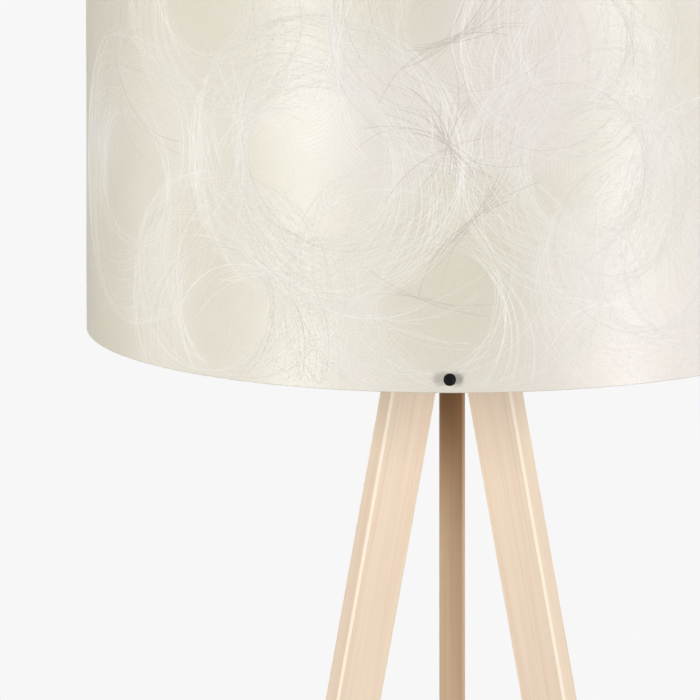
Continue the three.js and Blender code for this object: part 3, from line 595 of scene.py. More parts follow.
low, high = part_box("cord_grommet")
lip = (high.x - low.x) / 2
neck, bore = lip - 0.0018, lip - 0.0033
plate_low, plate_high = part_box("hub_plate")
under, over = plate_low.z - 0.0002, plate_high.z + 0.0002
bush = eased_outline([
    (bore, low.z), (lip, low.z), (lip, under), (neck, under),
    (neck, over), (lip, over), (lip, high.z), (bore, high.z),
], LIP_ROUNDING, closed=True, steps=6)
centre = ((low.x + high.x) / 2, (low.y + high.y) / 2, 0)
soft_rubber = handled_material("soft black rubber", RUBBER, 0.62, marks=0.3, tooth=1800.0)
piece("inlet_grommet", moved(turned(*bush.T, 56), centre), soft_rubber, "head",
      ["cord_grommet"])

# ---- Nipple and locknut ------------------------------------------------------------------------
# A length of M10 by 1 threaded tube that the cord can pass through. It clamps the lampholder's
# foot down on the plate, with a hexagon locknut below.
NIPPLE_RADIUS = 0.005
NIPPLE_BORE = 0.0035
NIPPLE_PITCH = 0.001
LOCKNUT_FLATS = 0.014


def helix(height, pitch, sides):
    """A ridge's share of its depth, 0 on its crest and 1 at its root: 0.5 + 0.5 cos of 2 pi z /
    pitch less the angle."""
    return 0.5 + 0.5 * np.cos(2 * np.pi * height[:, None] / pitch - round_angles(sides)[None, :])


def threaded_tube(inner, outer, bottom, top, pitch, depth, sides=48, runs=1.0, fade=0.6):
    """A tube with a helical ridge outside: its radius is the outer one less the depth's share, and
    the ridge fades into the root at both ends of the threaded share of its height."""
    rows = int(max(8, 8 * (top - bottom) / pitch))
    height = np.linspace(bottom, top, rows)
    start = top - (top - bottom) * runs
    ramp = np.clip(np.minimum(height - start, top - height) / (fade * pitch), 0, 1)
    radius = outer - depth * (1 - ramp[:, None] * (1 - helix(height, pitch, sides)))
    walls = np.vstack([np.full((1, sides), inner), radius, np.full((1, sides), inner)])
    return turned(walls, np.concatenate([[bottom], height, [top]]), sides)


low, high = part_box("holder_nipple")
nipple = threaded_tube(NIPPLE_BORE, NIPPLE_RADIUS, low.z, high.z, NIPPLE_PITCH, THREAD_DEPTH)
piece("holder_nipple_tube", nipple, zinc_plate, "head", ["holder_nipple"])
low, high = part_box("holder_locknut")
locknut = hexagon_nut(LOCKNUT_FLATS, high.z - low.z, NIPPLE_RADIUS + BORE_GAP)
piece("holder_clamp_nut", moved(locknut, (0, 0, low.z)), zinc_plate, "head",
      ["holder_locknut"])

# ---- Lampholder --------------------------------------------------------------------------------
# An E27 holder in black thermoset: a cup-shaped base on the nipple, with side holes for the supply
# cord and the switch's lead, a ceramic insert with two sprung brass contacts, and a threaded skirt
# whose flange carries the shade.
HOLDER_RADIUS = 0.0215
HOLDER_FOOT_RADIUS = 0.014
HOLDER_WALL = 0.0025
HOLDER_LEDGE = 0.003
HOLDER_FLARE = 0.010
GRIP_RIBS = 36
GRIP_RIB_DEPTH = 0.0005
SIDE_HOLES = {"lead": (-1, 0.0023), "supply": (1, 0.0030)}  # which side of the axis along Y, radius
SIDE_HOLE_HEIGHT = 1.1774
BLACK_PLASTIC = (0.013, 0.013, 0.014, 1)
SKIRT_RADIUS = 0.0197
SKIRT_BORE = 0.015
SKIRT_FLANGE_RADIUS = 0.0235
SKIRT_FLANGE = 0.003
SKIRT_PITCH = 0.0026
CERAMIC = (0.80, 0.77, 0.71, 1)
BRASS = (0.74, 0.53, 0.24, 1)

thermoset = handled_material("black thermoset", BLACK_PLASTIC, 0.34, marks=0.2, cloud=90.0,
                             tooth=1300.0, depth=0.00003)


def ring_outline(inner, outer, bottom, top, ease, steps=4):
    """The eased four-cornered section of a flat ring."""
    corners = [(inner, bottom), (outer, bottom), (outer, top), (inner, top)]
    return eased_outline(corners, ease, closed=True, steps=steps)


def cut_by(item, cutters):
    """Cuts closed shapes out of a piece and keeps the result as its mesh."""
    made = []
    for number, (points, faces) in enumerate(cutters):
        mesh = bpy.data.meshes.new(f"cutter {number}")
        mesh.from_pydata(points.tolist(), [], [f for part in faces for f in part.tolist()])
        cutter = bpy.data.objects.new(mesh.name, mesh)
        bpy.context.scene.collection.objects.link(cutter)
        hole = item.modifiers.new(mesh.name, "BOOLEAN")
        hole.object, hole.operation, hole.solver = cutter, "DIFFERENCE", "EXACT"
        made.append(cutter)
    bpy.context.view_layer.update()
    cut = bpy.data.meshes.new_from_object(item.evaluated_get(bpy.context.evaluated_depsgraph_get()))
    item.modifiers.clear()
    item.data = cut
    for cutter in made:
        bpy.data.objects.remove(cutter)
    cut.set_sharp_from_angle(angle=math.radians(SMOOTH_UP_TO))


def plain_rod(radius, length, sides=32):
    """A closed cylinder round Z from z = 0."""
    return turned(np.array([0, radius, radius, 0]), np.array([0, 0, length, length]), sides)


low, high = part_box("lampholder_base")
bore = HOLDER_RADIUS - HOLDER_WALL
ledge = bore - HOLDER_LEDGE
ledge_height = high.z - 0.0098
flare_top = low.z + HOLDER_FLARE
floor_top = low.z + 0.003
nipple_hole = NIPPLE_RADIUS + BORE_GAP
cup = eased_outline([
    (nipple_hole, low.z), (HOLDER_FOOT_RADIUS, low.z), (HOLDER_RADIUS, flare_top),
    (HOLDER_RADIUS, high.z - 0.0045), (HOLDER_RADIUS - 0.0005, high.z - 0.0040),
    (HOLDER_RADIUS - 0.0005, high.z), (bore, high.z), (bore, ledge_height), (ledge, ledge_height),
    (ledge, flare_top), (HOLDER_FOOT_RADIUS - HOLDER_WALL, floor_top), (nipple_hole, floor_top),
], 0.0007, closed=True)
sides = GRIP_RIBS * 6
angle = round_angles(sides)
ribbed = (cup[:, :1] > HOLDER_RADIUS - 0.0002) & (cup[:, 1:] > flare_top + 0.0005)
ribs = 0.5 - 0.5 * np.cos(GRIP_RIBS * angle)
base = piece("lampholder_cup", turned(cup[:, :1] - ribbed * GRIP_RIB_DEPTH * ribs, cup[:, 1], sides),
             thermoset, "head", ["lampholder_base"])
cut_by(base, [moved(plain_rod(radius, 0.04), (0, 0, SIDE_HOLE_HEIGHT), (0, side, 0))
              for side, radius in SIDE_HOLES.values()])

glazed = handled_material("steatite ceramic", CERAMIC, 0.42, marks=0.12, cloud=120.0, tooth=1100.0)
low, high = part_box("lampholder_insert")
radius = (high.x - low.x) / 2
disc = eased_outline([(0, low.z), (radius, low.z), (radius, high.z), (0, high.z)], 0.0008, closed=False)
piece("holder_insert", turned(*disc.T, 72), glazed, "head", ["lampholder_insert"])

spring_brass = handled_material("spring brass", BRASS, 0.30, marks=0.25, cloud=160.0, tooth=2400.0,
                                depth=0.00002, Metallic=1.0)
for node in ("centre_contact", "side_contact"):
    eased(finished(node, spring_brass), 0.00015)

low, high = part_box("lampholder_skirt")
flange_top = low.z + SKIRT_FLANGE
sleeve = threaded_tube(SKIRT_BORE, SKIRT_RADIUS, flange_top - 0.0008, high.z, SKIRT_PITCH, 0.0009, 96, 0.98)
flange = ring_outline(SKIRT_BORE, SKIRT_FLANGE_RADIUS, low.z, flange_top, 0.0007)
piece("holder_skirt", joined([turned(*flange.T, 96), sleeve]), thermoset, "head",
      ["lampholder_skirt"])

# ---- Shade carrier -----------------------------------------------------------------------------
# White powder-coated steel: a flat collar that drops over the skirt on to its flange, three 5 mm
# rods out to the sheet, and a drilled tab welded down from the end of each.
COLLAR_RADIUS = 0.031
COLLAR_THICKNESS = 0.002
ROD_RADIUS = 0.0025
ARM_AZIMUTHS = {"front": 270, "right": 30, "left": 150}
FIXING_HEIGHT = 1.1617
TAB_WIDTH = 0.014
TAB_SHEET = 0.002
TAB_HOLES = {"front": 0.0038, "right": 0.0023, "left": 0.0023}
WELD_RADIUS = 0.0034
WHITE_COAT = (0.80, 0.78, 0.74, 1)

white_coat = handled_material("white powder coat", WHITE_COAT, 0.48, marks=0.06, cloud=50.0,
                              tooth=1000.0, depth=0.00006)


def outward(azimuth):
    """The level direction at an azimuth from +X."""
    angle = math.radians(azimuth)
    return np.array([math.cos(angle), math.sin(angle), 0])


def along_path(path, section, closed=False):
    """A section of (side, up) points carried along a path of points. At each point the section
    stands square to the path, with its up as near to +Z as it can be; open ends are capped."""
    path = np.asarray(path, float)
    ahead = np.gradient(path, axis=0)
    if closed:
        ahead = np.roll(path, -1, 0) - np.roll(path, 1, 0)
    ahead /= np.linalg.norm(ahead, axis=1)[:, None]
    side = np.cross(ahead, [0, 0, 1])
    side /= np.linalg.norm(side, axis=1)[:, None]
    up = np.cross(side, ahead)
    section = np.asarray(section, float)
    points = path[:, None] + section[None, :, :1] * side[:, None] + section[None, :, 1:] * up[:, None]
    faces = [grid_faces(len(path), len(section), closed, True)[:, ::-1]]
    if not closed:
        ring = np.arange(len(section))
        faces += [ring[None, :], (ring + (len(path) - 1) * len(section))[None, ::-1]]
    return points.reshape(-1, 3), faces


def circle_section(radius, sides=20):
    """Points round a circle, anticlockwise seen along the path from behind."""
    angle = round_angles(sides)
    return np.stack([radius * np.cos(angle), radius * np.sin(angle)], 1)


def drilled_tab(low_z, high_z, hole, sides=72, rings=4):
    """A plate in Y and Z with its outer face at x = 0 and a round hole at the fixing height: a grid
    from the hole's circle out to the superellipse |y / a| ^ 8 + |z / b| ^ 8 = 1, on both faces."""
    angle = round_angles(sides)
    direction = np.stack([np.cos(angle), np.sin(angle)], 1)
    half = np.array([TAB_WIDTH / 2, (high_z - low_z) / 2])
    rim = direction * (np.abs(direction / half) ** 8).sum(1)[:, None] ** (-1 / 8)
    rim[:, 1] += (high_z + low_z) / 2 - FIXING_HEIGHT
    share = np.linspace(0, 1, rings)[:, None, None]
    flat = hole * direction * (1 - share) + rim * share
    front = np.concatenate([np.zeros((rings, sides, 1)), flat], -1)
    back = np.concatenate([np.full((rings, sides, 1), -TAB_SHEET), flat[::-1]], -1)
    points = np.concatenate([front, back]).reshape(-1, 3) + [0, 0, FIXING_HEIGHT]
    return points, [grid_faces(2 * rings, sides, True, True)[:, ::-1]]


def swung(shape, azimuth):
    """A shape turned round the lamp's axis, from +X to an azimuth."""
    points, faces = shape
    turn = np.array(Matrix.Rotation(math.radians(azimuth), 3, "Z"))
    return points @ turn.T, faces


def bead(centre, radii):
    """A flattened round bead of weld or solder: an ellipsoid, turned."""
    angle = np.linspace(-np.pi / 2, np.pi / 2, 15)
    radius = np.cos(angle) * radii[0]
    radius[[0, -1]] = 0
    points, faces = turned(radius, np.sin(angle) * radii[1], 28)
    return points + np.asarray(centre, float), faces


low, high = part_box("shade_carrier")
collar_top = high.z
collar_bottom = collar_top - COLLAR_THICKNESS
collar = ring_outline(SKIRT_RADIUS + BORE_GAP, COLLAR_RADIUS, collar_bottom, collar_top, 0.0005)
tab_outer = -low.y
tab_middle = tab_outer - TAB_SHEET / 2
ARM_INNER = (COLLAR_RADIUS - ROD_RADIUS, 0, (collar_top + collar_bottom) / 2)
ARM_OUTER = (tab_middle, 0, FIXING_HEIGHT + 0.0098)
TAB_TOP = ARM_OUTER[2] + ROD_RADIUS + 0.001
welded = [turned(*collar.T, 96)]
for place, azimuth in ARM_AZIMUTHS.items():
    arm = along_path([ARM_INNER, ARM_OUTER], circle_section(ROD_RADIUS, 28))
    points, faces = drilled_tab(low.z, TAB_TOP, TAB_HOLES[place])
    tab = (points + [tab_outer, 0, 0], faces)
    inner_weld = bead(ARM_INNER, (WELD_RADIUS, 0.0019))
    outer_weld = bead((tab_outer - TAB_SHEET, 0, ARM_OUTER[2]), (WELD_RADIUS * 0.9, 0.0031))
    welded += [swung(part, azimuth) for part in (arm, tab, inner_weld, outer_weld)]
carrier = piece("shade_carrier_frame", joined(welded), white_coat, "head",
                ["shade_carrier"])
eased(carrier, 0.00025, 2)

# ---- Shade nut ---------------------------------------------------------------------------------
# A wide threaded ring, moulded with a milled edge, that clamps the carrier's collar down on the
# skirt's flange by hand.
SHADE_NUT_RADIUS = 0.027
NUT_FLUTES = 40
FLUTE_DEPTH = 0.0007

low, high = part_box("shade_nut")
ring = ring_outline(SKIRT_RADIUS + BORE_GAP, SHADE_NUT_RADIUS, low.z, high.z, 0.0010, steps=6)
sides = NUT_FLUTES * 6
flutes = np.abs(np.cos(NUT_FLUTES / 2 * round_angles(sides)))
rim = np.clip((ring[:, :1] - (SHADE_NUT_RADIUS - 0.0012)) / 0.0008, 0, 1)
milled = turned(ring[:, :1] - rim * FLUTE_DEPTH * (1 - flutes), ring[:, 1], sides)
piece("shade_clamp_nut", milled, thermoset, "head", ["shade_nut"])

# ---- Bulb --------------------------------------------------------------------------------------
# An opal globe bulb, off: blown glass with a white inner coat, cemented into a rolled aluminium
# screw cap, with a soldered centre contact below black glass insulation.
BULB_CAP_RADIUS = 0.0132
BULB_PITCH = 0.00363
CAP_THREAD_DEPTH = 0.0011
GLASS_NECK = 0.0109
GLASS_WALL = 0.0009
GLOBE_RADIUS = 0.030
GLOBE_FROM = -52  # degrees below its middle, where the neck's curve meets it
OPAL = (0.86, 0.85, 0.82, 1)
ALUMINIUM = (0.68, 0.68, 0.67, 1)

tip_low, tip_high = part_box("bulb_tip")
cap_low, cap_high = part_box("bulb_cap")
glass_low, glass_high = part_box("bulb_glass")
solder = handled_material("soft solder", (0.62, 0.61, 0.58, 1), 0.38, marks=0.3, cloud=300.0,
                          tooth=2600.0, Metallic=1.0)
angle = np.linspace(0, np.pi / 2, 8)
tip_radius = (tip_high.x - tip_low.x) / 2
tip_height = tip_high.z - tip_low.z
dome = np.stack([tip_radius * np.sin(angle), tip_high.z - tip_height * np.cos(angle)], 1)
dome = np.vstack([dome, [[0, tip_high.z]]])
dome[0, 0] = 0
piece("bulb_contact", turned(*dome.T, 40), solder, "head", ["bulb_tip"])

aluminium = handled_material("rolled aluminium", ALUMINIUM, 0.24, marks=0.2, cloud=200.0,
                             tooth=2000.0, depth=0.00002, Metallic=1.0)
sides = 72
shoulder = cap_low.z + 0.005
height = np.linspace(shoulder, cap_high.z - 0.0015, 56)
ramp = np.clip(np.minimum(height - shoulder, height[-1] - height) / 0.0015, 0, 1)
threaded = BULB_CAP_RADIUS - CAP_THREAD_DEPTH * ramp[:, None] * helix(height, BULB_PITCH, sides)
below = np.array([0, tip_radius * 0.9, tip_radius + 0.0012, BULB_CAP_RADIUS - 0.0016])
below_height = np.array([cap_low.z, cap_low.z, cap_low.z + 0.0004, shoulder - 0.0012])
above = np.array([BULB_CAP_RADIUS - 0.0004, BULB_CAP_RADIUS - 0.0006, BULB_CAP_RADIUS - 0.0020,
                  BULB_CAP_RADIUS - 0.0020, 0])
above_height = np.array([cap_high.z - 0.0004, cap_high.z, cap_high.z, shoulder, shoulder])
wall = np.vstack([np.repeat(below[:, None], sides, 1), threaded, np.repeat(above[:, None], sides, 1)])
piece("bulb_screw_cap", turned(wall, np.concatenate([below_height, height, above_height]), sides),
      aluminium, "head", ["bulb_cap"])


def opal_material():
    """White-coated glass: soft cloudy white under a clear polished skin."""
    material, tree = new_material("opal glass")
    surface = handled_surface(tree, OPAL, 0.30, 0.05, 45.0, 700.0)
    skinned(tree, {"Base Color": surface["Color"], "Roughness": surface["Roughness"],
                   "Coat Weight": 1.0, "Coat Roughness": 0.04})
    return material


globe_centre = glass_high.z - GLOBE_RADIUS
sweep = np.linspace(math.radians(GLOBE_FROM), math.pi / 2, 40)
globe = np.stack([GLOBE_RADIUS * np.cos(sweep), globe_centre + GLOBE_RADIUS * np.sin(sweep)], 1)
neck_top = np.array([GLASS_NECK, cap_high.z + 0.0015])
t = np.linspace(0, 1, 12)[1:-1, None]
blend_point = np.array([[GLASS_NECK + 0.0002, cap_high.z + 0.0062]])
shoulder_curve = (1 - t) ** 2 * neck_top + 2 * t * (1 - t) * blend_point + t ** 2 * globe[0]
outside = np.vstack([[[GLASS_NECK, glass_low.z]], [neck_top], shoulder_curve, globe])
outside[-1, 0] = 0
inside = outside[::-1] - np.where(outside[::-1, :1] > 0, [[GLASS_WALL, 0]], 0)
inside[0] = (0, outside[-1, 1] - GLASS_WALL)
inside[-1, 1] = glass_low.z
profile = np.vstack([inside, outside])
piece("bulb_globe", turned(*profile.T, 72), opal_material(), "head", ["bulb_glass"],
      crease=50)

# ---- Shade rings -------------------------------------------------------------------------------
# Two hoops of 3.5 mm wire, white-coated, butt-welded at the back and bonded just inside the sheet's
# lower and upper edges. They keep the drum round.
HOOP_STEPS = 240

for end in ("lower", "upper"):
    low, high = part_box(f"{end}_ring")
    wire = (high.z - low.z) / 2
    angle = round_angles(HOOP_STEPS)
    hoop_radius = (high.x - low.x) / 2 - wire
    circle = np.stack([hoop_radius * np.cos(angle), hoop_radius * np.sin(angle),
                       np.full(HOOP_STEPS, (low.z + high.z) / 2)], 1)
    hoop = along_path(circle, circle_section(wire * 1.12, 16), closed=True)
    butt_weld = bead((0, hoop_radius, (low.z + high.z) / 2), (wire * 1.35, wire * 1.3))
    piece(f"{end}_hoop", joined([hoop, butt_weld]), white_coat, "head", [f"{end}_ring"])

# ---- Shade sheet -------------------------------------------------------------------------------
# A flat laminate, 1.2 mm thick: swirled fibres bonded on a satin cream backing, cut 380 mm deep,
# rolled into a drum 600 mm across and glued where its ends lap, at the back over the rear leg.
SHEET_THICKNESS = 0.0012
LAP = 0.008
LAP_RAMP = 0.030  # of the sheet, lifted over the end that it laps
GLUE_LINE = 0.00006
SHEET_COLUMNS = 720
SHEET_ROWS = 24
EDGE_EASE = 0.00025
PUNCH_REACH = 0.015  # to each side of the wall, for the three holes
WAVINESS = 0.00022  # of the rolled sheet, none at its edges
LAMINATE_CREAM = (0.745, 0.704, 0.615, 1)
LAMINATE_PINK = (0.765, 0.714, 0.656, 1)
LAMINATE_GREEN = (0.695, 0.656, 0.542, 1)
# painted shade: the thin darker line along both cut edges
EDGE_PAINTED_SHADE = (0.50, 0.44, 0.35, 1)
COMBED_SCATTERS = ((6.0, 52.0, 0.0), (8.3, 36.0, 5.3))  # centres, arcs, shift

shade_low, shade_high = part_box("shade_sheet")
shade_radius = (shade_high.x - shade_low.x) / 2
shade_height = shade_high.z - shade_low.z
lap_angle = LAP / shade_radius


def drum_radius(angle, height, lapped=True):
    """The sheet's outer radius at an angle from the front and a height above its lower edge: the
    drum's, plus slow waves that die out at both edges, plus the lift of the lapping end."""
    rise = np.sin(np.pi * np.clip(height / shade_height, 0, 1))
    waves = np.sin(7 * angle + 9 * height) + 0.7 * np.sin(12 * angle - 21 * height + 1.3)
    radius = shade_radius + WAVINESS * rise * waves
    if lapped:
        share = np.clip((angle - np.pi + LAP_RAMP / shade_radius) / (LAP_RAMP / shade_radius), 0, 1)
        radius = radius + (SHEET_THICKNESS + GLUE_LINE) * share ** 2 * (3 - 2 * share)
    return radius


def on_drum(angle, height, proud, lapped=True):
    """A point on the drum: (r sin a, -r cos a, z), standing proud of its surface."""
    radius = drum_radius(angle, height, lapped) + proud
    return np.stack([radius * np.sin(angle), -radius * np.cos(angle), shade_low.z + height], -1)


def rolled_sheet():
    """The wall's outline, out and up, carried round the drum from one lapping end to the other."""
    rows = np.linspace(0, shade_height, SHEET_ROWS + 1)[1:-1]
    ease = EDGE_EASE
    outer = [(0, ease)] + [(0, z) for z in rows] + [(0, shade_height - ease), (-ease, shade_height)]
    inner = [(out - SHEET_THICKNESS if out == 0 else -SHEET_THICKNESS + ease, z)
             for out, z in reversed(outer)]
    outline = np.array([(-ease, 0)] + outer + inner + [(-SHEET_THICKNESS + ease, 0)])
    angle = np.linspace(-np.pi, np.pi + lap_angle, SHEET_COLUMNS + 1)
    shape = (len(angle), len(outline))
    out = np.broadcast_to(outline[None, :, 0], shape)
    up = np.broadcast_to(outline[None, :, 1], shape)
    points = on_drum(np.broadcast_to(angle[:, None], shape), up, out)
    ring = np.arange(len(outline))
    faces = [grid_faces(*shape, False, True)[:, ::-1], ring[None, :],
             (ring + (len(angle) - 1) * len(outline))[None, ::-1]]
    return points.reshape(-1, 3), faces


def tint_group():
    """Slow clouds of cream, pink and green-grey, from two widths of noise on Object coordinates,
    each with a steady drift along X."""
    group, given, result = shader_group("laminate tint", {
        "Cream": LAMINATE_CREAM, "Pink": LAMINATE_PINK, "Green": LAMINATE_GREEN}, "Color")
    place = object_place(group)
    sideways = add_node(group, "ShaderNodeSeparateXYZ", {0: place}).outputs["X"]

    def cloud(scale, offset, low, high, drift):
        shifted = add_node(group, "ShaderNodeVectorMath", {0: place, 1: (offset, offset, 0)},
                           operation="ADD").outputs[0]
        fog = noise(group, shifted, scale, 2.5, Distortion=0.4)
        return ranged(group, calc(group, "MULTIPLY_ADD", sideways, drift, fog), low, high, smooth=True)

    pinker = cloud(6, 0.37, 0.36, 0.64, 0.5)
    greener = cloud(5, 3.1, 0.40, 0.68, -0.5)
    first = blended(group, pinker, given["Cream"], given["Pink"])
    put_out(group, result, Color=blended(group, greener, first, given["Green"]))
    return group


def combed_group():
    """Families of fine concentric arcs: the sine of the distance from a scatter of centres, shown
    only in a band between each centre and the border with its neighbours."""
    group, given, result = shader_group("combed arcs", {
        "Vector": None, "Centres": 9.0, "Arcs": 34.0, "Shift": 0.0}, "Height")
    shift = add_node(group, "ShaderNodeCombineXYZ", {"X": given["Shift"], "Y": given["Shift"]})
    place = add_node(group, "ShaderNodeVectorMath", {0: given["Vector"], 1: shift.outputs[0]},
                     operation="ADD").outputs[0]
    bend = add_node(group, "ShaderNodeTexNoise", {"Vector": place, "Scale": 14.0, "Detail": 1.0})
    nudge = add_node(group, "ShaderNodeVectorMath", {0: bend.outputs["Color"], "Scale": 0.012},
                     operation="SCALE").outputs[0]
    bent = add_node(group, "ShaderNodeVectorMath", {0: place, 1: nudge}, operation="ADD").outputs[0]
    reach = add_node(group, "ShaderNodeTexVoronoi", {"Vector": bent, "Scale": given["Centres"]},
                     voronoi_dimensions="2D").outputs["Distance"]
    phase = calc(group, "MULTIPLY", calc(group, "MULTIPLY", reach, given["Arcs"]), 2 * math.pi)
    wave = ranged(group, calc(group, "SINE", phase), 0.1, 1.0)
    patch = ranged(group, noise(group, place, 17.0, 2.0), 0.46, 0.62, smooth=True)
    inside = ranged(group, reach, 0.18, 0.34, smooth=True)
    outside = ranged(group, reach, 0.66, 0.44, smooth=True)
    drawn = calc(group, "MULTIPLY", wave, calc(group, "MULTIPLY", inside, outside))
    put_out(group, result, Height=calc(group, "MULTIPLY", drawn, patch))
    return group


laminate_tint = tint_group()
combed_arcs = combed_group()


def laminate_material():
    """Satin laminate: clouds of tint, two scatters of combed arcs, a fine tooth, and a thin tan band of
    painted shade along both cut edges.
    """
    material, tree = new_material("swirl laminate")
    flat = add_node(tree, "ShaderNodeUVMap", uv_map="flat sheet").outputs[0]
    tint = add_node(tree, "ShaderNodeGroup", node_tree=laminate_tint)
    combed = [add_node(tree, "ShaderNodeGroup", {
        "Vector": flat, "Centres": centres, "Arcs": arcs, "Shift": shift},
        node_tree=combed_arcs).outputs["Height"] for centres, arcs, shift in COMBED_SCATTERS]
    place = object_place(tree)
    tooth = calc(tree, "SUBTRACT", noise(tree, place, 420.0, 3.0, Roughness=0.6), 0.5)
    relief = calc(tree, "MULTIPLY_ADD", calc(tree, "ADD", *combed), 0.35, tooth)
    shaded = add_node(tree, "ShaderNodeVectorMath", {
        0: tint.outputs["Color"], "Scale": calc(tree, "MULTIPLY_ADD", relief, 0.15, 1.0)},
        operation="SCALE").outputs[0]
    height = add_node(tree, "ShaderNodeSeparateXYZ", {0: place}).outputs["Z"]
    nearest = calc(tree, "MINIMUM", calc(tree, "SUBTRACT", height, shade_low.z),
                   calc(tree, "SUBTRACT", shade_high.z, height))  # of the two cut edges
    bump = add_node(tree, "ShaderNodeBump", {"Height": relief, "Strength": 0.5, "Distance": 0.00018})
    skinned(tree, {
        # Painted shade: a thin tan band along both cut edges.
        "Base Color": blended(tree, ranged(tree, nearest, 0.0002, 0.0007, 0.7, 0), shaded, EDGE_PAINTED_SHADE),
        "Roughness": ranged(tree, relief, -0.6, 0.6, 0.50, 0.42),
        "Normal": bump.outputs[0], "Specular IOR Level": 0.8})
    return material


def map_flat(item):
    """The sheet's own map: the distance round the drum from the front, and the height, in metres."""
    mesh = item.data
    corners = np.empty(len(mesh.loops), np.int32)
    mesh.loops.foreach_get("vertex_index", corners)
    places = np.empty(len(mesh.vertices) * 3, np.float32)
    mesh.vertices.foreach_get("co", places)
    x, y, z = places.reshape(-1, 3)[corners].T
    flat = np.stack([np.arctan2(x, -y) * shade_radius, z - shade_low.z], 1)
    layer = mesh.uv_layers.new(name="flat sheet")
    layer.data.foreach_set("uv", flat.astype(np.float32).ravel())


swirl_laminate = laminate_material()
sheet = piece("drum_sheet", rolled_sheet(), swirl_laminate, "head", ["shade_sheet"])
cut_by(sheet, [
    moved(plain_rod(TAB_HOLES[place], 2 * PUNCH_REACH),
          outward(azimuth) * (shade_radius - PUNCH_REACH) + [0, 0, FIXING_HEIGHT], outward(azimuth))
    for place, azimuth in ARM_AZIMUTHS.items()])
map_flat(sheet)

# ---- Swirled fibres ----------------------------------------------------------------------------
# Long white fibres, with a few grey-brown ones, thrown down in loops while the guide that feeds
# them wanders, then pressed into the backing. A wheel is a run of loops whose middles circle one
# place, which leaves a clear eye; a knot is a sheaf of loops drawn through one point.
FIBRE_STEP = 0.008  # between points along a fibre
FIBRE_SINK = 0.00010  # how deep a fibre's root lies in the sheet
FIBRE_PROUD = 0.00010  # how far its crest stands out, for a fibre of size 1
FIBRE_WIDTH = 0.00055  # to each side of its middle
FIBRE_MARGIN = 0.0015  # between a fibre's end and the sheet's cut edges
FIBRE_LIMIT = 30000  # points in one piece
CLIP_STEPS = 180
FIBRE_WHITE = (0.94, 0.915, 0.88, 1)
FIBRE_GREY = (0.55, 0.49, 0.42, 1)
WHEEL_WHITENESS = (0.22, 0.66)  # shares of white over the sheet's tint, least and most
KNOT_WHITENESS = (0.40, 0.95)
# Wheels: degrees right of the front, height, loop radius, wander of the middles, loops, greyness.
WHEELS = [
    (21.7, 0.180, 0.078, 0.027, 96, 0.04), (19.9, 0.283, 0.070, 0.026, 70, 0.05),
    (-21.0, 0.186, 0.093, 0.029, 104, 0.04), (-60.0, 0.150, 0.085, 0.034, 60, 0.06),
    (3.0, 0.300, 0.084, 0.030, 60, 0.12), (48.0, 0.120, 0.080, 0.030, 70, 0.04),
    (-2.0, 0.070, 0.090, 0.038, 64, 0.08), (-42.0, 0.310, 0.072, 0.026, 56, 0.06),
    (-38.0, 0.060, 0.080, 0.032, 60, 0.05), (33.0, 0.090, 0.074, 0.028, 60, 0.05),
]
# Knots: degrees, height, the sheaf's lean in degrees, its spread, loop radius, reach, fibres,
# slackness of the waist, greyness.
KNOTS = [
    (32.7, 0.212, -50, 55, 0.085, 0.100, 34, 0.0012, 0.0),
    (24.1, 0.068, 10, 80, 0.060, 0.055, 30, 0.0010, 0.0),
    (-0.2, 0.203, 110, 32, 0.070, 0.060, 26, 0.0012, 0.9),
    (3.8, 0.143, 43, 7, 0.120, 0.062, 14, 0.0009, 0.85),
    (-29.7, 0.091, -25, 35, 0.075, 0.080, 30, 0.0022, 0.0),
    (24.1, 0.248, 61, 6, 0.110, 0.032, 12, 0.0008, 0.0),
    (31.2, 0.293, -24, 14, 0.060, 0.040, 16, 0.0020, 0.0),
    (-65.8, 0.242, 95, 28, 0.090, 0.090, 28, 0.0025, 0.7),
    (-18.0, 0.279, 86, 9, 0.110, 0.075, 20, 0.0030, 0.0),
    (-34.5, 0.193, 88, 7, 0.100, 0.085, 22, 0.0022, 0.0),
    (-4.9, 0.079, -13, 5, 0.150, 0.055, 7, 0.0008, 0.7),
    (0.6, 0.290, 22, 14, 0.100, 0.065, 14, 0.0018, 0.8),
    (-29.0, 0.225, 25, 18, 0.055, 0.050, 16, 0.0015, 0.0),
    (-12.0, 0.060, -18, 12, 0.130, 0.080, 14, 0.0020, 0.1),
]
rng = np.random.default_rng(20)


def wheel_loops(degrees, height, radius, wander, count, grey):
    """Whole loops whose middles step round a circle of the wander's radius, with a little scatter."""
    turn = round_angles(count) + rng.uniform(0, 2 * np.pi)
    off = wander * (1 + rng.normal(0, 0.05, count))
    middle_x = math.radians(degrees) * shade_radius + off * np.cos(turn)
    middle_y = height + off * np.sin(turn)
    radii = radius * (1 + rng.normal(0, 0.025, count))
    start = rng.uniform(0, 2 * np.pi, count)
    sweep = 2 * np.pi * rng.uniform(0.55, 1.0, count)
    tone = np.where(rng.random(count) < grey, 1, 0) * rng.uniform(0.3, 0.7, count)
    white = rng.uniform(*WHEEL_WHITENESS, count)
    return np.stack([middle_x, middle_y, radii, start, sweep, tone, rng.uniform(0.6, 1, count), white], 1)


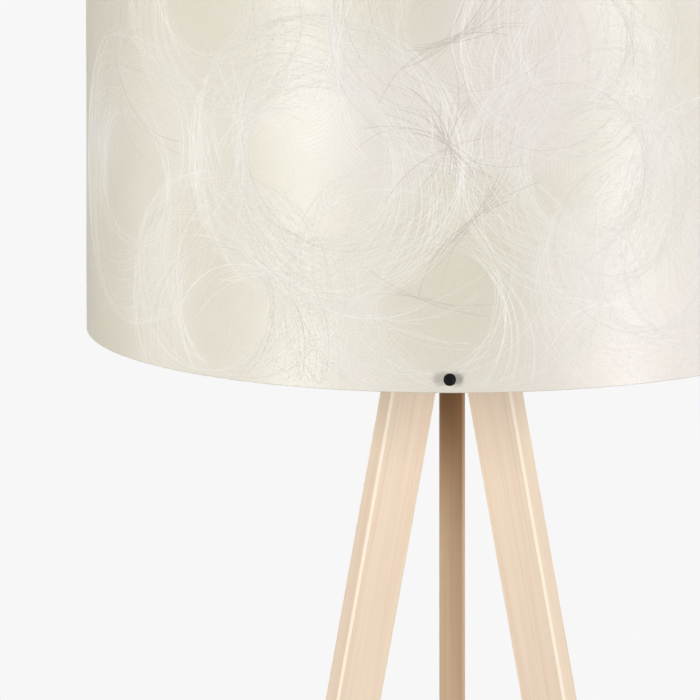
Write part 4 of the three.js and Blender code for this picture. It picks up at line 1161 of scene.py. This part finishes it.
def knot_loops(degrees, height, lean, spread, radius, reach, count, slack, grey):
    """Arcs through one point: each leans a little differently and bends to one side or the other,
    its middle a radius away square to its lean."""
    angle = np.radians(lean + rng.normal(0, spread, count))
    side = np.where(rng.random(count) < 0.5, 1, -1)
    radii = radius * rng.uniform(0.7, 1.5, count)
    square = angle + side * np.pi / 2
    waist = rng.normal(0, slack, (2, count))
    middle_x = math.radians(degrees) * shade_radius + waist[0] + radii * np.cos(square)
    middle_y = height + waist[1] + radii * np.sin(square)
    half = reach * rng.uniform(0.45, 1.1, count) / radii
    start = square + np.pi - half * rng.uniform(0.5, 1.2, count)
    tone = np.clip(grey + rng.normal(0, 0.12, count), 0, 1) * (grey > 0)
    size = rng.uniform(0.7, 1.2, count)
    white = rng.uniform(*KNOT_WHITENESS, count)
    return np.stack([middle_x, middle_y, radii, start, 2 * half, tone, size, white], 1)


def scattered(count_wheels, count_knots, avoid):
    """Wheels and knots of the same kinds for the rest of the drum, outside the avoided degrees."""
    loops = []
    for number in range(count_wheels):
        degrees = avoid + (360 - 2 * avoid) * (number + rng.uniform(0.2, 0.8)) / count_wheels
        loops.append(wheel_loops(degrees, rng.uniform(0.03, 0.35), rng.uniform(0.066, 0.095),
                                 rng.uniform(0.024, 0.036), int(rng.integers(34, 54)), 0.1))
    for number in range(count_knots):
        degrees = avoid + (360 - 2 * avoid) * rng.random()
        grey = 0.8 if rng.random() < 0.25 else 0.0
        loops.append(knot_loops(degrees, rng.uniform(0.03, 0.35), rng.uniform(0, 180),
                                rng.uniform(6, 50), rng.uniform(0.06, 0.12), rng.uniform(0.04, 0.09),
                                int(rng.integers(12, 30)), rng.uniform(0.001, 0.003), grey))
    return loops


def clipped(loops):
    """The stretches of the loops that lie on the sheet: loop number, first and last angle."""
    share = np.linspace(0, 1, CLIP_STEPS)
    angle = loops[:, 3:4] + loops[:, 4:5] * share
    x = loops[:, 0:1] + loops[:, 2:3] * np.cos(angle)
    y = loops[:, 1:2] + loops[:, 2:3] * np.sin(angle)
    on = (y > FIBRE_MARGIN) & (y < shade_height - FIBRE_MARGIN)
    on &= (x > -np.pi * shade_radius + LAP + FIBRE_MARGIN) & (x < np.pi * shade_radius + LAP - FIBRE_MARGIN)
    padded = np.pad(on, ((0, 0), (1, 1)))
    first = np.argwhere(padded[:, 1:] & ~padded[:, :-1])
    last = np.argwhere(~padded[:, 1:] & padded[:, :-1])
    number, start, end = first[:, 0], first[:, 1], last[:, 1] - 1
    keep = end > start
    number, start, end = number[keep], start[keep], end[keep]
    return number, angle[number, start], angle[number, end]


def ridge_point(x, y, proud, outside):
    """A point over the sheet: outside it, or inside it with proud measured towards the axis."""
    angle = x / shade_radius
    if outside:
        return on_drum(angle, y, proud)
    return on_drum(angle, y, -SHEET_THICKNESS - proud, lapped=False)


def fibre_mesh(loops, outside):
    """Every stretch as a three-sided ridge along its arc, its root sunk in the sheet and its crest
    proud of it, tapered at both ends and capped; also each point's greyness and whiteness."""
    number, first, last = clipped(loops)
    length = np.abs(last - first) * loops[number, 2]
    counts = np.maximum(3, np.ceil(length / FIBRE_STEP).astype(int)) + 1
    starts = np.cumsum(counts) - counts
    run = np.repeat(np.arange(len(counts)), counts)
    share = (np.arange(counts.sum()) - starts[run]) / (counts[run] - 1)
    loop = number[run]
    angle = first[run] + (last - first)[run] * share
    radius = loops[loop, 2]
    ripple = 0.012 * radius * np.sin(3 * angle + loops[loop, 5] * 40 + loop)
    x = loops[loop, 0] + (radius + ripple) * np.cos(angle)
    y = loops[loop, 1] + (radius + ripple) * np.sin(angle)
    side_x, side_y = np.cos(angle), np.sin(angle)
    taper = np.clip(np.minimum(share, 1 - share) * length[run] / 0.006, 0.12, 1)
    half = FIBRE_WIDTH * loops[loop, 6] * taper
    crest = FIBRE_PROUD * loops[loop, 6] * taper * (0.8 + 0.4 * ((loop * 0.618) % 1))
    points = np.stack([
        ridge_point(x + side_x * half, y + side_y * half, np.full_like(x, -FIBRE_SINK), outside),
        ridge_point(x, y, crest, outside),
        ridge_point(x - side_x * half, y - side_y * half, np.full_like(x, -FIBRE_SINK), outside),
    ], 1)
    here = np.flatnonzero(run[1:] == run[:-1])[:, None] * 3
    j = np.arange(3)[None, :]
    k = (j + 1) % 3
    sides = np.stack([here + j, here + k, here + 3 + k, here + 3 + j], -1).reshape(-1, 4)
    begin = starts[:, None] * 3 + np.arange(3)
    finish = (starts + counts - 1)[:, None] * 3 + np.arange(3)
    faces = [sides[:, ::-1], begin, finish[:, ::-1]] if outside else [sides, begin[:, ::-1], finish]
    return points.reshape(-1, 3), faces, np.repeat(loops[loop][:, [5, 7]], 3, 0)


def fibre_material():
    """Pressed fibres: the sheet's tint with each fibre's share of white and then of grey-brown."""
    material, tree = new_material("swirl fibre")
    tint = add_node(tree, "ShaderNodeGroup", node_tree=laminate_tint)
    white = add_node(tree, "ShaderNodeAttribute", attribute_name="whiteness").outputs["Fac"]
    grey = add_node(tree, "ShaderNodeAttribute", attribute_name="greyness").outputs["Fac"]
    toned = blended(tree, grey, blended(tree, white, tint.outputs["Color"], FIBRE_WHITE), FIBRE_GREY)
    fleck = noise(tree, object_place(tree), 260.0, 1.0)
    skinned(tree, {"Base Color": toned, "Roughness": ranged(tree, fleck, 0, 1, 0.34, 0.52),
                   "Specular IOR Level": 0.6})
    return material


def lay_fibres(prefix, loops, outside):
    """Fibre pieces of a handy size, each a share of the loops."""
    points_each = 2 * np.pi * 0.08 * 0.75 / FIBRE_STEP
    share = max(1, int(FIBRE_LIMIT / points_each))
    for number, start in enumerate(range(0, len(loops), share), 1):
        points, faces, tones = fibre_mesh(loops[start:start + share], outside)
        item = piece(f"{prefix}_{number}", (points, faces), swirl_fibre, "head")
        for column, label in enumerate(("greyness", "whiteness")):
            attribute = item.data.attributes.new(label, "FLOAT", "POINT")
            attribute.data.foreach_set("value", tones[:, column].astype(np.float32))


swirl_fibre = fibre_material()
front_loops = [wheel_loops(*wheel) for wheel in WHEELS] + [knot_loops(*knot) for knot in KNOTS]
outer_loops = np.vstack(front_loops + scattered(26, 30, avoid=75))
inner_loops = np.vstack(scattered(20, 24, avoid=0))
lay_fibres("swirl_fibres_outside", outer_loops, True)
lay_fibres("swirl_fibres_inside", inner_loops, False)

# ---- Shade screws ------------------------------------------------------------------------------
# Two M4 screws with moulded black caps, driven in from outside through the sheet into the rear
# arms' tabs. They match the button's cap at the front.
CAP_RADIUS = 0.0051
CAP_EDGE = 0.0006
SHANK_RADIUS = 0.0020
CAP_COLOR = (0.005, 0.005, 0.005, 1)
CAP_DISH = 0.00025  # hollow in the middle of the cap's face
CAP_STAND = 0.0066  # of its face, from the tab's outer face
CAP_DEPTH = 0.0046
SCREW_LENGTH = 0.0116

cap_plastic = handled_material("moulded black cap", CAP_COLOR, 0.50, marks=0.25, cloud=140.0,
                               tooth=1500.0, depth=0.00003, **{"Specular IOR Level": 0.25})


def capped_stem(start, seat, end):
    """A stem along +Z up to the seat and a round cap from there to the end, its face dished."""
    outline = eased_outline([
        (0, start), (SHANK_RADIUS, start), (SHANK_RADIUS, seat), (CAP_RADIUS, seat), (CAP_RADIUS, end),
        (CAP_RADIUS - 0.0014, end), (CAP_RADIUS - 0.0020, end - CAP_DISH), (0, end - CAP_DISH),
    ], CAP_EDGE, closed=False)
    return turned(*outline.T, 56)


for place in ("right", "left"):
    face = tab_outer + CAP_STAND
    screw = capped_stem(face - SCREW_LENGTH, face - CAP_DEPTH, face)
    screw = moved(screw, (0, 0, FIXING_HEIGHT), outward(ARM_AZIMUTHS[place]))
    piece(f"capped_shade_screw_{place}", screw, cap_plastic, "head",
          [f"shade_screw_{place}"])

# ---- Push switch -------------------------------------------------------------------------------
# A bought-in push switch behind the front tab: a square moulded case with a threaded neck through
# tab and sheet, a thin round nut, and a sprung button whose black cap stands in front of the shade.
CASE_BACK, CASE_FRONT = 0.2820, 0.2960  # from the lamp's axis
CASE_HALF = 0.0060
CASE_SQUARENESS = 9
NECK_RADIUS = 0.0035
NECK_END = 0.3013
NECK_BORE = 0.0023
BORE_BACK = 0.2892
SWITCH_NUT_RADIUS = 0.0047
SWITCH_NUT_NOTCHES = 12


def switch_case():
    """A turned profile whose wide rings are the superellipse |x| ^ n + |y| ^ n = 1, so that the
    case comes out square and its neck and bore stay round."""
    outline = eased_outline([
        (0, CASE_BACK), (CASE_HALF, CASE_BACK), (CASE_HALF, CASE_FRONT), (NECK_RADIUS, CASE_FRONT),
        (NECK_RADIUS, NECK_END), (NECK_BORE, NECK_END), (NECK_BORE, BORE_BACK), (0, BORE_BACK),
    ], 0.0005, closed=False)
    angle = round_angles(96)
    power = CASE_SQUARENESS
    square = (np.abs(np.cos(angle)) ** power + np.abs(np.sin(angle)) ** power) ** (-1 / power)
    wide = np.clip((outline[:, :1] - NECK_RADIUS) / (CASE_HALF - NECK_RADIUS), 0, 1)
    in_case = outline[:, 1:] <= CASE_FRONT + 1e-6
    return turned(outline[:, :1] * (1 + wide * in_case * (square - 1)), outline[:, 1], 96)


front = outward(ARM_AZIMUTHS["front"])
at_front = (0, 0, FIXING_HEIGHT)
piece("push_switch_case", moved(switch_case(), at_front, front), thermoset, "head",
      ["switch_body"])

low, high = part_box("switch_nut")
nut_back, nut_front = -high.y, -low.y
nut_ring = ring_outline(NECK_RADIUS + BORE_GAP, SWITCH_NUT_RADIUS, nut_back, nut_front, 0.0002)
sides = SWITCH_NUT_NOTCHES * 8
angle = round_angles(sides)
notches = np.clip(np.cos(SWITCH_NUT_NOTCHES * angle) - 0.5, 0, 0.5) * 2
rim = nut_ring[:, :1] > SWITCH_NUT_RADIUS - 0.0003
notched = turned(nut_ring[:, :1] - rim * notches * 0.0003, nut_ring[:, 1], sides)
piece("push_switch_nut", moved(notched, at_front, front), zinc_plate, "head",
      ["switch_nut"])

low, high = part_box("switch_button")
button = capped_stem(-high.y, -low.y - 0.0024, -low.y)
piece("push_button", moved(button, at_front, front), cap_plastic, "button",
      ["switch_button"])

# ---- Switch lead -------------------------------------------------------------------------------
# A round 4 mm two-core lead in a pale grey sheath, from the switch's back along under the arm and
# down into the lampholder's side hole. It is held all the way, so it lies as it is clipped.
LEAD_RADIUS = 0.0020
LEAD_ROUTE = [  # distance from the axis, height
    (0.2817, 1.1617), (0.2740, 1.1617), (0.2480, 1.17007), (0.2220, 1.17233), (0.1692, 1.17693),
    (0.1269, 1.18061), (0.0731, 1.1853), (0.0430, 1.1799), (0.0301, 1.1774), (0.0140, 1.1774),
]
LEAD_STEPS = 12  # between two points of the route
SHEATH_GREY = (0.74, 0.72, 0.68, 1)


def through_points(points, steps):
    """A centripetal Catmull-Rom curve through the points: each stretch blends the lines through its
    four nearest points, spaced by the square root of their distances."""
    points = np.asarray(points, float)
    ends = np.vstack([2 * points[0] - points[1], points, 2 * points[-1] - points[-2]])
    gaps = np.sqrt(np.linalg.norm(np.diff(ends, axis=0), axis=1))
    knots = np.concatenate([[0], np.cumsum(gaps)])
    pieces = []
    for number in range(1, len(ends) - 2):
        k0, k1, k2, k3 = knots[number - 1:number + 3]
        p0, p1, p2, p3 = ends[number - 1:number + 3]
        t = np.linspace(k1, k2, steps, endpoint=False)[:, None]
        a1 = (p0 * (k1 - t) + p1 * (t - k0)) / (k1 - k0)
        a2 = (p1 * (k2 - t) + p2 * (t - k1)) / (k2 - k1)
        a3 = (p2 * (k3 - t) + p3 * (t - k2)) / (k3 - k2)
        b1 = (a1 * (k2 - t) + a2 * (t - k0)) / (k2 - k0)
        b2 = (a2 * (k3 - t) + a3 * (t - k1)) / (k3 - k1)
        pieces.append((b1 * (k2 - t) + b2 * (t - k1)) / (k2 - k1))
    return np.vstack(pieces + [points[-1:]])


lead_plastic = handled_material("lead sheath", SHEATH_GREY, 0.44, marks=0.12, cloud=80.0, tooth=1600.0)
route = through_points(LEAD_ROUTE, LEAD_STEPS)
path = np.stack([0 * route[:, 0], -route[:, 0], route[:, 1]], 1)
lead = along_path(path, circle_section(LEAD_RADIUS, 24))
piece("switch_lead_cable", lead, lead_plastic, "head", ["switch_lead"])

# ---- Lead clips --------------------------------------------------------------------------------
# Two short black rubber sleeves with a figure like a stadium, pushed along the front arm. Each
# grips the rod in its upper end and the lead in its lower end.
CLIP_DISTANCES = {"lead_clip_1": 0.10914, "lead_clip_2": 0.21666}  # of their middles from the axis
CLIP_BORE = 0.0028
CLIP_WALL = 0.0012
CLIP_LENGTH = 0.0070
LEAD_BELOW_ROD = 0.0057
CLIP_GROOVES = 3

arm_slope = math.atan2(ARM_INNER[2] - ARM_OUTER[2], ARM_OUTER[0] - ARM_INNER[0])


def lead_clip(distance):
    """A small rounded rectangle carried round a stadium: half a turn round the rod, then half a
    turn round the lead below it. The outer face has shallow grooves across the sleeve's length."""
    along = np.array([0, -math.cos(arm_slope), -math.sin(arm_slope)])
    up = np.array([0, -math.sin(arm_slope), math.cos(arm_slope)])
    drop = (distance - ARM_INNER[0]) * math.tan(arm_slope)
    centre = np.array([0, -distance, ARM_INNER[2] - drop])
    half = np.linspace(0, np.pi, 25)
    angle = np.concatenate([half, np.pi + half])
    base = np.concatenate([0 * half, 0 * half - LEAD_BELOW_ROD])
    length = np.linspace(-CLIP_LENGTH / 2, CLIP_LENGTH / 2, 25)
    share = length / (CLIP_LENGTH / 2)
    ends = 0.0004 * np.clip((np.abs(share) - 0.85) / 0.15, 0, 1) ** 2
    groove = 0.00025 * np.clip(np.cos(np.pi * CLIP_GROOVES * share), 0, 1) ** 2
    outer = CLIP_BORE + CLIP_WALL - np.maximum(ends, groove)
    section_out = np.concatenate([outer, [CLIP_BORE, CLIP_BORE]])
    section_along = np.concatenate([length, [length[-1], length[0]]])
    across = section_out[None, :] * np.cos(angle)[:, None]
    rise = section_out[None, :] * np.sin(angle)[:, None] + base[:, None]
    points = (centre + across[..., None] * np.array([1.0, 0, 0]) + rise[..., None] * up
              + section_along[None, :, None] * along)
    faces = grid_faces(len(angle), len(section_out), True, True)[:, ::-1]
    return points.reshape(-1, 3), [faces]


for node, distance in CLIP_DISTANCES.items():
    piece(f"{node}_sleeve", lead_clip(distance), soft_rubber, "head", [node])
